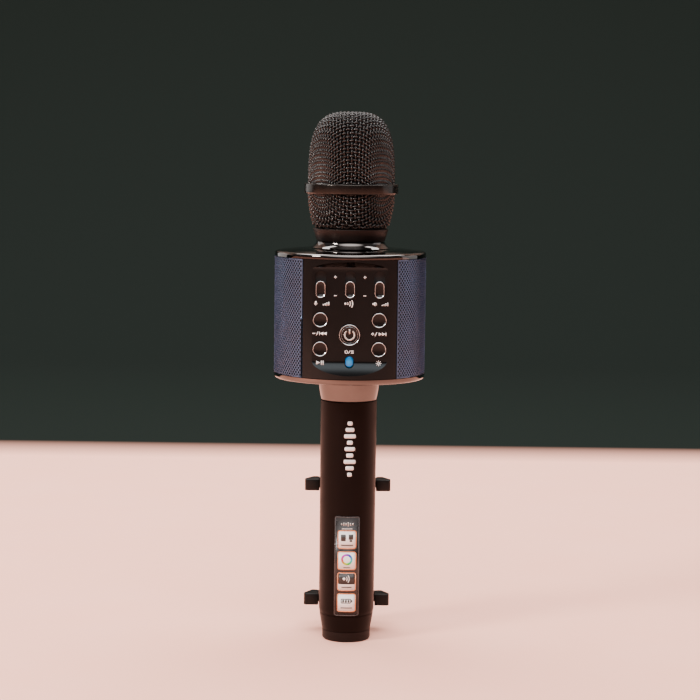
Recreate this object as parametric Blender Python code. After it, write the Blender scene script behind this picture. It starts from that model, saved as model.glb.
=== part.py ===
"""A handheld karaoke microphone with a built-in loudspeaker and a phone clamp, standing on its foot.

Metres, +Z up. The origin is the centre of the foot's flat face, the microphone's axis is Z,
the control panel faces -Y and the phone clamp is on the +Y side of the handle.
"""

import math

import bmesh
import bpy
from mathutils import Matrix, Vector

# Driving dimensions
HEIGHT = 0.2600
BODY_RADIUS = 0.0370
GAP = 0.0003
ROUND_STEPS = 40
SMALL_STEPS = 20

# Handle, from the foot up
FOOT_RADIUS = 0.01185
FOOT_TOP = 0.0046
EDGE_ROUNDING = 0.0012
TAIL_TOP = 0.0130
TAIL_TOP_RADIUS = 0.01325
TAPER_TOP = 0.0158
HANDLE_BOTTOM_RADIUS = 0.0136
HANDLE_TOP_RADIUS = 0.0138
HANDLE_BORE = 0.0118
HANDLE_TOP = 0.1193
LOWER_RING_TOP_RADIUS = 0.0153

# Label on the handle
LABEL_BOTTOM = 0.0139
LABEL_TOP = 0.0634
LABEL_HALF_WIDTH = 0.0063
LABEL_CLEARANCE = 0.00035
LABEL_THICKNESS = 0.00015

# Loudspeaker can
CAN_BOTTOM = 0.1306
PANEL_BOTTOM = 0.1333
PANEL_TOP = 0.1898
CAN_RIM_TOP = 0.1911
CAN_TOP = 0.1937
SHELL_THICKNESS = 0.0015
CHASSIS_RADIUS = 0.0352
CHASSIS_BORE = 0.0334
SPIGOT_RADIUS = 0.0330
SPIGOT_BORE = 0.0316
CAP_BORE = 0.0120
NECK_TUBE_RADIUS = 0.0110
NECK_TUBE_BORE = 0.0094
NECK_FLANGE_RADIUS = 0.0150

# Reach of the shapes that cut through the can's wall
CLEAR_OF_CAN = 0.0400
CUT_START_Y = 0.0300

# Control panel
PANEL_HALF_WIDTH = 0.0223
RECESS_FLOOR_Y = -0.0324
RECESS_BOTTOM = 0.1350
RECESS_FLOOR_BOTTOM = 0.1417
RECESS_FLOOR_TOP = 0.1852
RECESS_TOP = 0.1891
PANEL_WALL = 0.0014
CONTROL_X = 0.01395
SLOT_WIDTH = 0.0052
SLOT_BOTTOM = 0.1716
SLOT_TOP = 0.1844
KNOB_WIDTH = 0.0046
KNOB_HEIGHT = 0.0080
KNOB_FRONT_Y = -0.0342
UPPER_BUTTON_Z = 0.1614
LOWER_BUTTON_Z = 0.1475
POWER_BUTTON_Z = 0.1543
BUTTON_RADIUS = 0.0035
POWER_BUTTON_RADIUS = 0.0050
LENS_Z = 0.1413
LENS_WIDTH = 0.0038
LENS_HEIGHT = 0.0052
BOARD_FRONT_Y = -0.0270
BOARD_THICKNESS = 0.0016
BOARD_CORNER = 0.0010

# Head
NECK_FLARE_TOP = 0.1970
NECK_FLARE_BOTTOM_RADIUS = 0.0190
NECK_FLARE_TOP_RADIUS = 0.0167
COLLAR_TOP = 0.2034
COLLAR_TOP_RADIUS = 0.0183
BASKET_TOP_RADIUS = 0.0214
BASKET_WIDEST = 0.2204
RING_BOTTOM = 0.2204
RING_TOP = 0.2251
RING_RADIUS = 0.0229
RING_BORE = 0.02165
DOME_BASE = 0.2220
DOME_RADIUS = 0.0213
DOME_POWER = 3.4
GRILLE_WALL = 0.0009

# Loudspeaker drivers, which face -X and +X
DRIVER_Z = 0.1615
DRIVER_RADIUS = 0.0160

# Phone clamp
CLAMP_HALF_WIDTH = 0.0133
CLAMP_BOTTOM = 0.0105
CLAMP_TOP = 0.0780
CLAMP_FRONT_Y = 0.0080
CLAMP_BACK_Y = 0.0244
COVER_BACK_Y = 0.0265
CLAW_HEIGHTS = (0.0735, 0.0150)
CLAW_HALF_HEIGHT = 0.00285
CLAW_TIP_X = 0.0215
ARM_HALF_HEIGHT = 0.0019
ARM_LAYERS = {-1: (0.0200, 0.0220), 1: (0.0223, 0.0243)}
TIE_BAR = (0.0075, 0.0105)


def clear_scene():
    for obj in list(bpy.data.objects):
        bpy.data.objects.remove(obj)


def make_material(name, colour, roughness, metallic=0.0):
    material = bpy.data.materials.new(name)
    material.use_nodes = True
    shader = material.node_tree.nodes["Principled BSDF"]
    shader.inputs["Base Color"].default_value = (*colour, 1.0)
    shader.inputs["Roughness"].default_value = roughness
    shader.inputs["Metallic"].default_value = metallic
    return material


def finish_object(name, bm, material, origin=(0.0, 0.0, 0.0), sharp_angle=35.0):
    """Makes the object from a bmesh in world coordinates, with its own origin at the given point."""
    bmesh.ops.recalc_face_normals(bm, faces=bm.faces)
    bmesh.ops.translate(bm, vec=-Vector(origin), verts=bm.verts)
    mesh = bpy.data.meshes.new(name)
    bm.to_mesh(mesh)
    bm.free()
    mesh.shade_smooth()
    mesh.set_sharp_from_angle(angle=math.radians(sharp_angle))
    mesh.materials.append(material)
    obj = bpy.data.objects.new(name, mesh)
    obj.location = origin
    bpy.context.scene.collection.objects.link(obj)
    return obj


def axis_matrix(axis):
    """The turn that takes a shape turned about Z to one turned about the given direction."""
    return Vector((0.0, 0.0, 1.0)).rotation_difference(Vector(axis)).to_matrix().to_4x4()


def turned_bmesh(profile, steps, axis=(0.0, 0.0, 1.0), centre=(0.0, 0.0, 0.0)):
    """Turns a closed outline of (radius, height) points about an axis through centre."""
    bm = bmesh.new()
    rings = []
    for radius, height in profile:
        if radius == 0.0:
            rings.append([bm.verts.new((0.0, 0.0, height))] * steps)
            continue
        ring = []
        for step in range(steps):
            angle = 2.0 * math.pi * step / steps
            ring.append(bm.verts.new((radius * math.cos(angle), radius * math.sin(angle), height)))
        rings.append(ring)
    for index, ring in enumerate(rings):
        following = rings[(index + 1) % len(rings)]
        for step in range(steps):
            after = (step + 1) % steps
            corners = []
            for corner in (ring[step], ring[after], following[after], following[step]):
                if corner not in corners:
                    corners.append(corner)
            if len(corners) > 2:
                bm.faces.new(corners)
    bm.transform(Matrix.Translation(centre) @ axis_matrix(axis))
    return bm


def turned(name, profile, material, steps=ROUND_STEPS, **placing):
    return finish_object(name, turned_bmesh(profile, steps, **placing), material)


def box_bmesh(low, high):
    bm = bmesh.new()
    bmesh.ops.create_cube(bm, size=1.0)
    size = [b - a for a, b in zip(low, high)]
    middle = [(a + b) / 2.0 for a, b in zip(low, high)]
    bm.transform(Matrix.Translation(middle) @ Matrix.Diagonal((*size, 1.0)))
    return bm


def bevel_edges(bm, width, segments, axis):
    """Rounds the edges that run along one axis (0, 1 or 2)."""
    edges = []
    for edge in bm.edges:
        run = edge.verts[0].co - edge.verts[1].co
        if abs(abs(run[axis]) - run.length) < 1e-7:
            edges.append(edge)
    bmesh.ops.bevel(bm, geom=edges, offset=width, segments=segments, profile=0.5, affect="EDGES")


def box(name, low, high, material, bevel=0.0, segments=1, axis=1, origin=(0.0, 0.0, 0.0)):
    bm = box_bmesh(low, high)
    if bevel:
        bevel_edges(bm, bevel, segments, axis)
    return finish_object(name, bm, material, origin)


def prism_bmesh(outline, front_y, back_y):
    """An outline of (x, z) points as a prism along Y. Either end may be a function of (x, z)."""
    bm = bmesh.new()
    ends = []
    for end in (front_y, back_y):
        place = end if callable(end) else (lambda x, z, y=end: y)
        ends.append([bm.verts.new((x, place(x, z), z)) for x, z in outline])
    bm.faces.new(ends[0])
    bm.faces.new(reversed(ends[1]))
    count = len(outline)
    for index in range(count):
        after = (index + 1) % count
        bm.faces.new((ends[0][index], ends[1][index], ends[1][after], ends[0][after]))
    return bm


def stadium(width, height, centre_x, centre_z, half_steps=7):
    """The outline of an upright slot with round ends, as (x, z) points."""
    radius = width / 2.0
    rise = height / 2.0 - radius
    points = []
    for end, start in ((1.0, 0.0), (-1.0, math.pi)):
        for step in range(half_steps + 1):
            angle = start + math.pi * step / half_steps
            x = centre_x + radius * math.cos(angle)
            points.append((x, centre_z + end * rise + radius * math.sin(angle)))
    return points


def circle(radius, centre_x, centre_z, steps=SMALL_STEPS):
    turns = [2.0 * math.pi * (step + 0.5) / steps for step in range(steps)]
    return [(centre_x + radius * math.cos(a), centre_z + radius * math.sin(a)) for a in turns]


def arc_shell(name, inner, outer, middle, half_angle, low, high, steps, material):
    """A slice of a tube. Angles are about Z, and middle is the direction that it faces."""
    bm = bmesh.new()
    sections = []
    for step in range(steps + 1):
        angle = middle + half_angle * (2.0 * step / steps - 1.0)
        c, s = math.cos(angle), math.sin(angle)
        corners = ((inner, low), (outer, low), (outer, high), (inner, high))
        sections.append([bm.verts.new((radius * c, radius * s, z)) for radius, z in corners])
    for first, second in zip(sections, sections[1:]):
        for index in range(4):
            after = (index + 1) % 4
            bm.faces.new((first[index], second[index], second[after], first[after]))
    bm.faces.new(sections[0])
    bm.faces.new(reversed(sections[-1]))
    return finish_object(name, bm, material)


def cut(target, bm):
    """Takes the shape in bm away from target with a Boolean modifier and a hidden cutter."""
    number = len(target.modifiers) + 1
    cutter = finish_object(f"{target.name}_cutter_{number}", bm, target.data.materials[0])
    cutter.hide_render = True
    cutter.display_type = "WIRE"
    modifier = target.modifiers.new(f"Cut {number}", "BOOLEAN")
    modifier.operation = "DIFFERENCE"
    modifier.solver = "EXACT"
    modifier.object = cutter


def wire(name, points, radius, material, sides=0):
    curve = bpy.data.curves.new(name, "CURVE")
    curve.dimensions = "3D"
    curve.bevel_depth = radius
    curve.bevel_resolution = sides
    curve.use_fill_caps = True
    spline = curve.splines.new("POLY")
    spline.points.add(len(points) - 1)
    for target, point in zip(spline.points, points):
        target.co = (*point, 1.0)
    curve.materials.append(material)
    obj = bpy.data.objects.new(name, curve)
    bpy.context.scene.collection.objects.link(obj)
    return obj


def coil_points(start, end, radius, turns, steps_per_turn=9):
    """Points along a helix from start to end."""
    start, end = Vector(start), Vector(end)
    turn = (end - start).to_track_quat("Z", "Y")
    count = turns * steps_per_turn
    points = []
    for step in range(count + 1):
        angle = 2.0 * math.pi * step / steps_per_turn
        across = turn @ Vector((radius * math.cos(angle), radius * math.sin(angle), 0.0))
        points.append(start.lerp(end, step / count) + across)
    return points


def dome_radius(z, base_radius, top):
    """The rounded-square curve of the ball grille's upper half."""
    share = min(max((z - DOME_BASE) / (top - DOME_BASE), 0.0), 1.0)
    return base_radius * (1.0 - share**DOME_POWER) ** (1.0 / DOME_POWER)


def dome_curve(base_radius, top, bottom, steps):
    """Points down a dome from its top, closer together where it turns over."""
    points = [(0.0, top)]
    for step in range(1, steps + 1):
        z = top - (top - bottom) * (step / steps) ** 2.2
        points.append((dome_radius(z, base_radius, top), z))
    return points


def basket_radius(z):
    share = min(max((z - COLLAR_TOP) / (BASKET_WIDEST - COLLAR_TOP), 0.0), 1.0)
    swell = math.sin(math.pi / 2.0 * share)
    return COLLAR_TOP_RADIUS + (BASKET_TOP_RADIUS - COLLAR_TOP_RADIUS) * swell


def panel_surface_y(x, z):
    """The panel's front: the can's round wall, cut back by the scooped recess."""
    wall = -math.sqrt(BODY_RADIUS**2 - x**2)
    depth = RECESS_FLOOR_Y + BODY_RADIUS
    if z <= RECESS_BOTTOM or z >= RECESS_TOP:
        return wall
    lower = min((z - RECESS_BOTTOM) / (RECESS_FLOOR_BOTTOM - RECESS_BOTTOM), 1.0)
    upper = min((RECESS_TOP - z) / (RECESS_TOP - RECESS_FLOOR_TOP), 1.0)
    recess = -BODY_RADIUS + depth * math.sin(math.pi / 2.0 * min(lower, upper))
    return max(wall, recess)


def build_grille(mats):
    top_inner = HEIGHT - GRILLE_WALL
    bottom = DOME_BASE + 0.0010
    outside = dome_curve(DOME_RADIUS, HEIGHT, bottom, 9)
    inside = dome_curve(DOME_RADIUS - GRILLE_WALL, top_inner, bottom, 7)
    turned("grille_dome", outside + inside[::-1], mats["mesh"])

    low = COLLAR_TOP + GAP
    high = DOME_BASE + 0.0006
    floor = 0.0013
    heights = [low + (high - low) * step / 5 for step in range(6)]
    outside = [(min(basket_radius(z), DOME_RADIUS), z) for z in heights]
    inside = [(r - GRILLE_WALL, z) for r, z in outside if z > low + floor]
    opening = 0.0145
    foot = [(outside[0][0] - GRILLE_WALL, low + floor), (opening, low + floor), (opening, low)]
    turned("grille_basket", outside + inside[::-1] + foot, mats["mesh"])

    edge = 0.0004
    ring = [
        (RING_BORE, RING_BOTTOM),
        (RING_RADIUS - edge, RING_BOTTOM),
        (RING_RADIUS, RING_BOTTOM + edge),
        (RING_RADIUS, RING_TOP - edge),
        (RING_RADIUS - edge, RING_TOP),
        (RING_BORE, RING_TOP),
    ]
    turned("grille_ring", ring, mats["band"])

    foam_gap = GRILLE_WALL + 0.0005
    foam_bottom = 0.2065
    foam_bore = 0.0148
    hollow_top = 0.2530
    drop = (DOME_BASE - foam_bottom) / 3
    dome_part = dome_curve(DOME_RADIUS - foam_gap, HEIGHT - foam_gap, DOME_BASE, 6)
    levels = [DOME_BASE - drop, DOME_BASE - 2.0 * drop, foam_bottom]
    basket_part = [(basket_radius(z) - foam_gap, z) for z in levels]
    inside = dome_curve(foam_bore, hollow_top, DOME_BASE, 5)
    outline = dome_part + basket_part + [(foam_bore, foam_bottom)] + inside[::-1]
    turned("foam_windscreen", outline, mats["foam"], SMALL_STEPS)


def build_capsule(mats):
    cup_radius = 0.0130
    cup_bottom = 0.2010
    cup_top = 0.2170
    cup_bore = 0.0114
    cable_hole = 0.0030
    cup_floor = cup_bottom + 0.0015
    cup = [
        (cable_hole, cup_bottom),
        (cup_radius, cup_bottom),
        (cup_radius, cup_top),
        (cup_bore, cup_top),
        (cup_bore, cup_floor),
        (cable_hole, cup_floor),
    ]
    turned("capsule_mount", cup, mats["rubber"], SMALL_STEPS)
    body_radius = 0.0110
    body_top = 0.2190
    face_radius = 0.0095
    face_top = 0.2208
    chamfer = 0.0005
    crown = 0.0004
    bottom = cup_floor + GAP
    capsule = [
        (0.0, bottom),
        (body_radius, bottom),
        (body_radius, body_top),
        (face_radius, body_top + chamfer),
        (face_radius, face_top),
        (0.0, face_top + crown),
    ]
    turned("mic_capsule", capsule, mats["steel"], SMALL_STEPS)


def build_neck(mats):
    bore = 0.0150
    collar = [
        (bore, NECK_FLARE_TOP + GAP),
        (NECK_FLARE_TOP_RADIUS, NECK_FLARE_TOP + GAP),
        (COLLAR_TOP_RADIUS, COLLAR_TOP),
        (bore, COLLAR_TOP),
    ]
    turned("collar", collar, mats["matte"])

    bottom = CAN_TOP + GAP
    bore = 0.0123
    flare = [(bore, NECK_FLARE_TOP), (bore, bottom)]
    for step in range(6):
        share = step / 5
        reach = 1.0 - math.sin(math.pi / 2.0 * share)
        radius = NECK_FLARE_TOP_RADIUS + (NECK_FLARE_BOTTOM_RADIUS - NECK_FLARE_TOP_RADIUS) * reach
        flare.append((radius, bottom + (NECK_FLARE_TOP - bottom) * share))
    turned("upper_neck_ring", flare, mats["mirror"])

    flange_bottom = 0.1870
    flange_top = 0.1888
    tube_top = 0.2005
    tube = [
        (NECK_TUBE_BORE, flange_bottom),
        (NECK_FLANGE_RADIUS, flange_bottom),
        (NECK_FLANGE_RADIUS, flange_top),
        (NECK_TUBE_RADIUS, flange_top),
        (NECK_TUBE_RADIUS, tube_top),
        (NECK_TUBE_BORE, tube_top),
    ]
    turned("upper_neck_tube", tube, mats["matte"], SMALL_STEPS)


def build_caps(mats):
    rim_bottom = PANEL_TOP + GAP
    shoulder_radius = 0.0350
    shoulder_z = 0.1926
    spigot_bottom = 0.1881
    cap = [(CAP_BORE, CAN_TOP), (NECK_FLARE_BOTTOM_RADIUS, CAN_TOP)]
    for step in range(1, 4):
        share = step / 3
        radius = NECK_FLARE_BOTTOM_RADIUS + (shoulder_radius - NECK_FLARE_BOTTOM_RADIUS) * share
        cap.append((radius, CAN_TOP - (CAN_TOP - shoulder_z) * share**2))
    wall = 0.0018
    corner = 0.0365, 0.1919
    cap += [
        corner,
        (BODY_RADIUS, CAN_RIM_TOP),
        (BODY_RADIUS, rim_bottom),
        (SPIGOT_RADIUS, rim_bottom),
        (SPIGOT_RADIUS, spigot_bottom),
        (SPIGOT_BORE, spigot_bottom),
        (SPIGOT_BORE, shoulder_z - wall),
        (NECK_FLARE_BOTTOM_RADIUS, CAN_TOP - wall),
        (CAP_BORE, CAN_TOP - wall),
    ]
    turned("top_cap", cap, mats["mirror"])

    rim_top = PANEL_BOTTOM - GAP
    floor_top = 0.1322
    spigot_top = 0.1356
    base = [(CAP_BORE, CAN_BOTTOM), (BODY_RADIUS - EDGE_ROUNDING, CAN_BOTTOM)]
    for step in (1, 2, 3):
        angle = math.pi / 2.0 * step / 3
        radius = BODY_RADIUS - EDGE_ROUNDING * (1.0 - math.sin(angle))
        base.append((radius, CAN_BOTTOM + EDGE_ROUNDING * (1.0 - math.cos(angle))))
    base += [
        (BODY_RADIUS, rim_top),
        (SPIGOT_RADIUS, rim_top),
        (SPIGOT_RADIUS, spigot_top),
        (SPIGOT_BORE, spigot_top),
        (SPIGOT_BORE, floor_top),
        (CAP_BORE, floor_top),
    ]
    turned("base_cap", base, mats["mirror"])


def build_chassis(mats):
    bottom = PANEL_BOTTOM + 0.0001
    top = PANEL_TOP - 0.0001
    tube = [(CHASSIS_BORE, bottom), (CHASSIS_RADIUS, bottom), (CHASSIS_RADIUS, top), (CHASSIS_BORE, top)]
    chassis = turned("chassis", tube, mats["inner_plastic"])
    controls_half_width = 0.0210
    controls_back_y = -0.0200
    low = (-controls_half_width, -CLEAR_OF_CAN, bottom - CLEAR_OF_CAN)
    high = (controls_half_width, controls_back_y, top + CLEAR_OF_CAN)
    cut(chassis, box_bmesh(low, high))
    sockets_half_width = 0.0085
    sockets_bottom, sockets_top = 0.1382, 0.1790
    low = (-sockets_half_width, CUT_START_Y, sockets_bottom)
    high = (sockets_half_width, CLEAR_OF_CAN, sockets_top)
    cut(chassis, box_bmesh(low, high))
    opening = DRIVER_RADIUS + 0.0004
    opening_start = 0.0250
    hole = [
        (0.0, opening_start),
        (opening, opening_start),
        (opening, CLEAR_OF_CAN),
        (0.0, CLEAR_OF_CAN),
    ]
    for side in (-1.0, 1.0):
        placing = {"axis": (side, 0.0, 0.0), "centre": (0.0, 0.0, DRIVER_Z)}
        cut(chassis, turned_bmesh(hole, SMALL_STEPS, **placing))


def build_side_grilles(mats):
    inner = BODY_RADIUS - SHELL_THICKNESS
    panel_angle = math.asin(PANEL_HALF_WIDTH / BODY_RADIUS)
    half_angle = math.pi / 2.0 - panel_angle - 2.0 * GAP / BODY_RADIUS
    for name, middle in (("speaker_grille_left", math.pi), ("speaker_grille_right", 0.0)):
        low, high = PANEL_BOTTOM, PANEL_TOP
        arc_shell(name, inner, BODY_RADIUS, middle, half_angle, low, high, 16, mats["mesh"])


def build_drivers(mats):
    """A magnet, a basket and a flange, and a cone of one thickness that ends in a rolled edge."""
    magnet_radius = 0.0105
    magnet_back = 0.0125
    magnet_front = 0.0187
    basket_foot_radius = 0.0090
    basket_radius_in_front = 0.0138
    basket_wall = 0.0008
    basket_floor = 0.0011
    flange_back = 0.0275
    flange_front = 0.0289
    frame = [
        (0.0, magnet_back),
        (magnet_radius, magnet_back),
        (magnet_radius, magnet_front),
        (basket_foot_radius, magnet_front),
        (basket_radius_in_front, flange_back),
        (DRIVER_RADIUS, flange_back),
        (DRIVER_RADIUS, flange_front),
        (basket_radius_in_front + basket_wall / 2.0, flange_front),
        (basket_foot_radius - basket_wall, magnet_front + basket_floor),
        (0.0, magnet_front + basket_floor),
    ]
    thickness = 0.0007
    dome_top = 0.0238
    dust_cap_radius = 0.0040
    dust_cap_edge = 0.0226
    cone_radius = 0.0106
    cone_edge = 0.0276
    roll_radius = 0.0120
    roll_top = 0.0283
    rim_radius = 0.0134
    rim = 0.0280
    back = [
        (0.0, dome_top),
        (dust_cap_radius, dust_cap_edge),
        (cone_radius, cone_edge),
        (roll_radius, roll_top),
        (rim_radius, rim),
    ]
    cone = back + [(radius, height + thickness) for radius, height in back[::-1]]
    for name, side in (("left", -1.0), ("right", 1.0)):
        placing = {"axis": (side, 0.0, 0.0), "centre": (0.0, 0.0, DRIVER_Z)}
        turned(f"speaker_driver_{name}", frame, mats["steel"], SMALL_STEPS, **placing)
        turned(f"speaker_cone_{name}", cone, mats["rubber"], SMALL_STEPS, **placing)


def build_front_panel(mats):
    """A grid of columns across and rows up, in front and behind, closed round its edge."""
    floor_half_width = math.sqrt(BODY_RADIUS**2 - RECESS_FLOOR_Y**2)
    half = [floor_half_width * step / 5 for step in range(6)]
    half += [(floor_half_width + PANEL_HALF_WIDTH) / 2.0, PANEL_HALF_WIDTH]
    columns = [-x for x in half[:0:-1]] + half
    rows = [PANEL_BOTTOM, (PANEL_BOTTOM + RECESS_BOTTOM) / 2.0]
    rows += [RECESS_BOTTOM + (RECESS_FLOOR_BOTTOM - RECESS_BOTTOM) * step / 5 for step in range(6)]
    rows += [RECESS_FLOOR_TOP + (RECESS_TOP - RECESS_FLOOR_TOP) * step / 4 for step in range(5)]
    rows += [PANEL_TOP]
    bm = bmesh.new()
    sheets = []
    for depth in (0.0, PANEL_WALL):
        narrower = 1.0 - depth / BODY_RADIUS
        sheet = []
        for z in rows:
            line = []
            for x in columns:
                line.append(bm.verts.new((x * narrower, panel_surface_y(x, z) + depth, z)))
            sheet.append(line)
        sheets.append(sheet)
    front, back = sheets
    for row in range(len(rows) - 1):
        for col in range(len(columns) - 1):
            near = (front[row][col], front[row][col + 1], front[row + 1][col + 1], front[row + 1][col])
            far = (back[row][col], back[row + 1][col], back[row + 1][col + 1], back[row][col + 1])
            bm.faces.new(near)
            bm.faces.new(far)
    for row in range(len(rows) - 1):
        for col in (0, len(columns) - 1):
            bm.faces.new((front[row][col], front[row + 1][col], back[row + 1][col], back[row][col]))
    for col in range(len(columns) - 1):
        for row in (0, len(rows) - 1):
            bm.faces.new((front[row][col], back[row][col], back[row][col + 1], front[row][col + 1]))
    panel = finish_object("front_panel", bm, mats["gloss"])

    clear_front, clear_back = -CLEAR_OF_CAN, -CLEAR_OF_CAN + 0.0120
    slot_z = (SLOT_TOP + SLOT_BOTTOM) / 2.0
    for x in (-CONTROL_X, 0.0, CONTROL_X):
        outline = stadium(SLOT_WIDTH, SLOT_TOP - SLOT_BOTTOM, x, slot_z)
        cut(panel, prism_bmesh(outline, clear_front, clear_back))
    for x, z, radius in button_places().values():
        cut(panel, prism_bmesh(circle(radius + GAP, x, z), clear_front, clear_back))
    outline = stadium(LENS_WIDTH + 2.0 * GAP, LENS_HEIGHT + 2.0 * GAP, 0.0, LENS_Z)
    cut(panel, prism_bmesh(outline, clear_front, clear_back))


def button_places():
    """Each button's x, z and radius."""
    return {
        "upper_left": (-CONTROL_X, UPPER_BUTTON_Z, BUTTON_RADIUS),
        "upper_right": (CONTROL_X, UPPER_BUTTON_Z, BUTTON_RADIUS),
        "lower_left": (-CONTROL_X, LOWER_BUTTON_Z, BUTTON_RADIUS),
        "lower_right": (CONTROL_X, LOWER_BUTTON_Z, BUTTON_RADIUS),
        "power": (0.0, POWER_BUTTON_Z, POWER_BUTTON_RADIUS),
    }


def build_controls(mats):
    edge = 0.0006
    proud = 0.0012
    press_room = 0.00075
    flange_reach = 0.0005
    flange_thickness = 0.0008
    switch_half = 0.0030
    switch_gap = 0.0009
    dish = 0.0001
    flange_front = -RECESS_FLOOR_Y - PANEL_WALL - press_room
    flange_back = flange_front - flange_thickness
    front = -RECESS_FLOOR_Y + proud
    for name, (x, z, radius) in button_places().items():
        button = [
            (0.0, flange_back),
            (radius + flange_reach, flange_back),
            (radius + flange_reach, flange_front),
            (radius, flange_front),
            (radius, front - edge),
            (radius - edge, front),
            (0.0, front - dish),
        ]
        node = "power_button" if name == "power" else f"button_{name}"
        bm = turned_bmesh(button, SMALL_STEPS, axis=(0.0, -1.0, 0.0), centre=(x, 0.0, z))
        finish_object(node, bm, mats["gloss"], origin=(x, RECESS_FLOOR_Y, z))

        low = (x - switch_half, -flange_back + switch_gap, z - switch_half)
        high = (x + switch_half, BOARD_FRONT_Y - GAP, z + switch_half)
        box(f"switch_{name}", low, high, mats["inner_plastic"])

    knob_z = SLOT_BOTTOM + GAP + KNOB_HEIGHT / 2.0
    pot_half_width = 0.0034
    pot_half_height = 0.0085
    pot_z = (SLOT_BOTTOM + SLOT_TOP) / 2.0
    pot_front = -0.0292
    knob_back = pot_front - 0.0004
    for name, x in (("left", -CONTROL_X), ("centre", 0.0), ("right", CONTROL_X)):
        outline = stadium(KNOB_WIDTH, KNOB_HEIGHT, x, knob_z)
        bm = prism_bmesh(outline, KNOB_FRONT_Y, knob_back)
        rim = [e for e in bm.edges if all(abs(v.co.y - KNOB_FRONT_Y) < 1e-6 for v in e.verts)]
        bmesh.ops.bevel(bm, geom=rim, offset=edge, segments=1, profile=0.5, affect="EDGES")
        finish_object(f"slider_knob_{name}", bm, mats["gloss"], origin=(x, KNOB_FRONT_Y, knob_z))
        low = (x - pot_half_width, pot_front, pot_z - pot_half_height)
        high = (x + pot_half_width, BOARD_FRONT_Y - GAP, pot_z + pot_half_height)
        box(f"slide_pot_{name}", low, high, mats["steel"])

    outline = stadium(LENS_WIDTH, LENS_HEIGHT, 0.0, LENS_Z)
    lens_back = -0.0300
    bm = prism_bmesh(outline, panel_surface_y, lens_back)
    finish_object("indicator_lens", bm, mats["blue"])

    half_width = 0.0175
    bottom, top = 0.1375, 0.1868
    low = (-half_width, BOARD_FRONT_Y, bottom)
    high = (half_width, BOARD_FRONT_Y + BOARD_THICKNESS, top)
    box("main_pcb", low, high, mats["board"], bevel=BOARD_CORNER)


def build_back(mats):
    """The rear panel, and the sockets on their own board behind it."""
    panel_angle = math.asin(PANEL_HALF_WIDTH / BODY_RADIUS)
    inner = BODY_RADIUS - SHELL_THICKNESS
    low, high = PANEL_BOTTOM, PANEL_TOP
    middle = math.pi / 2.0
    args = (inner, BODY_RADIUS, middle, panel_angle, low, high, 12, mats["gloss"])
    panel = arc_shell("rear_panel", *args)
    board_y = 0.0240
    opening_room = 0.0004
    shells = {
        "usb_socket": (0.0132, 0.0058, 0.1730),
        "card_socket": (0.0126, 0.0026, 0.1625),
        "charge_socket": (0.0090, 0.0036, 0.1530),
    }
    wall = 0.0005
    mouth_y = 0.0362
    floor_y = board_y + GAP + BOARD_THICKNESS
    for name, (width, height, z) in shells.items():
        half = width / 2.0
        rise = height / 2.0
        low = (-half - opening_room, CUT_START_Y, z - rise - opening_room)
        high = (half + opening_room, CLEAR_OF_CAN, z + rise + opening_room)
        cut(panel, box_bmesh(low, high))
        socket = box(name, (-half, board_y + GAP, z - rise), (half, mouth_y, z + rise), mats["steel"])
        low = (-half + wall, floor_y, z - rise + wall)
        high = (half - wall, CLEAR_OF_CAN, z + rise - wall)
        cut(socket, box_bmesh(low, high))
    aux_z = 0.1435
    aux_radius = 0.0032
    aux_mouth_y = 0.0368
    plug_radius = 0.0018
    hole = circle(aux_radius + opening_room, 0.0, aux_z)
    cut(panel, prism_bmesh(hole, CUT_START_Y, CLEAR_OF_CAN))
    socket = [
        (0.0, board_y + GAP),
        (aux_radius, board_y + GAP),
        (aux_radius, aux_mouth_y),
        (plug_radius, aux_mouth_y),
        (plug_radius, floor_y),
        (0.0, floor_y),
    ]
    placing = {"axis": (0.0, 1.0, 0.0), "centre": (0.0, 0.0, aux_z)}
    turned("aux_socket", socket, mats["inner_plastic"], SMALL_STEPS, **placing)
    half_width = 0.0120
    bottom, top = 0.1380, 0.1800
    low = (-half_width, board_y - BOARD_THICKNESS, bottom)
    high = (half_width, board_y, top)
    box("rear_pcb", low, high, mats["board"], bevel=BOARD_CORNER)


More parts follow.
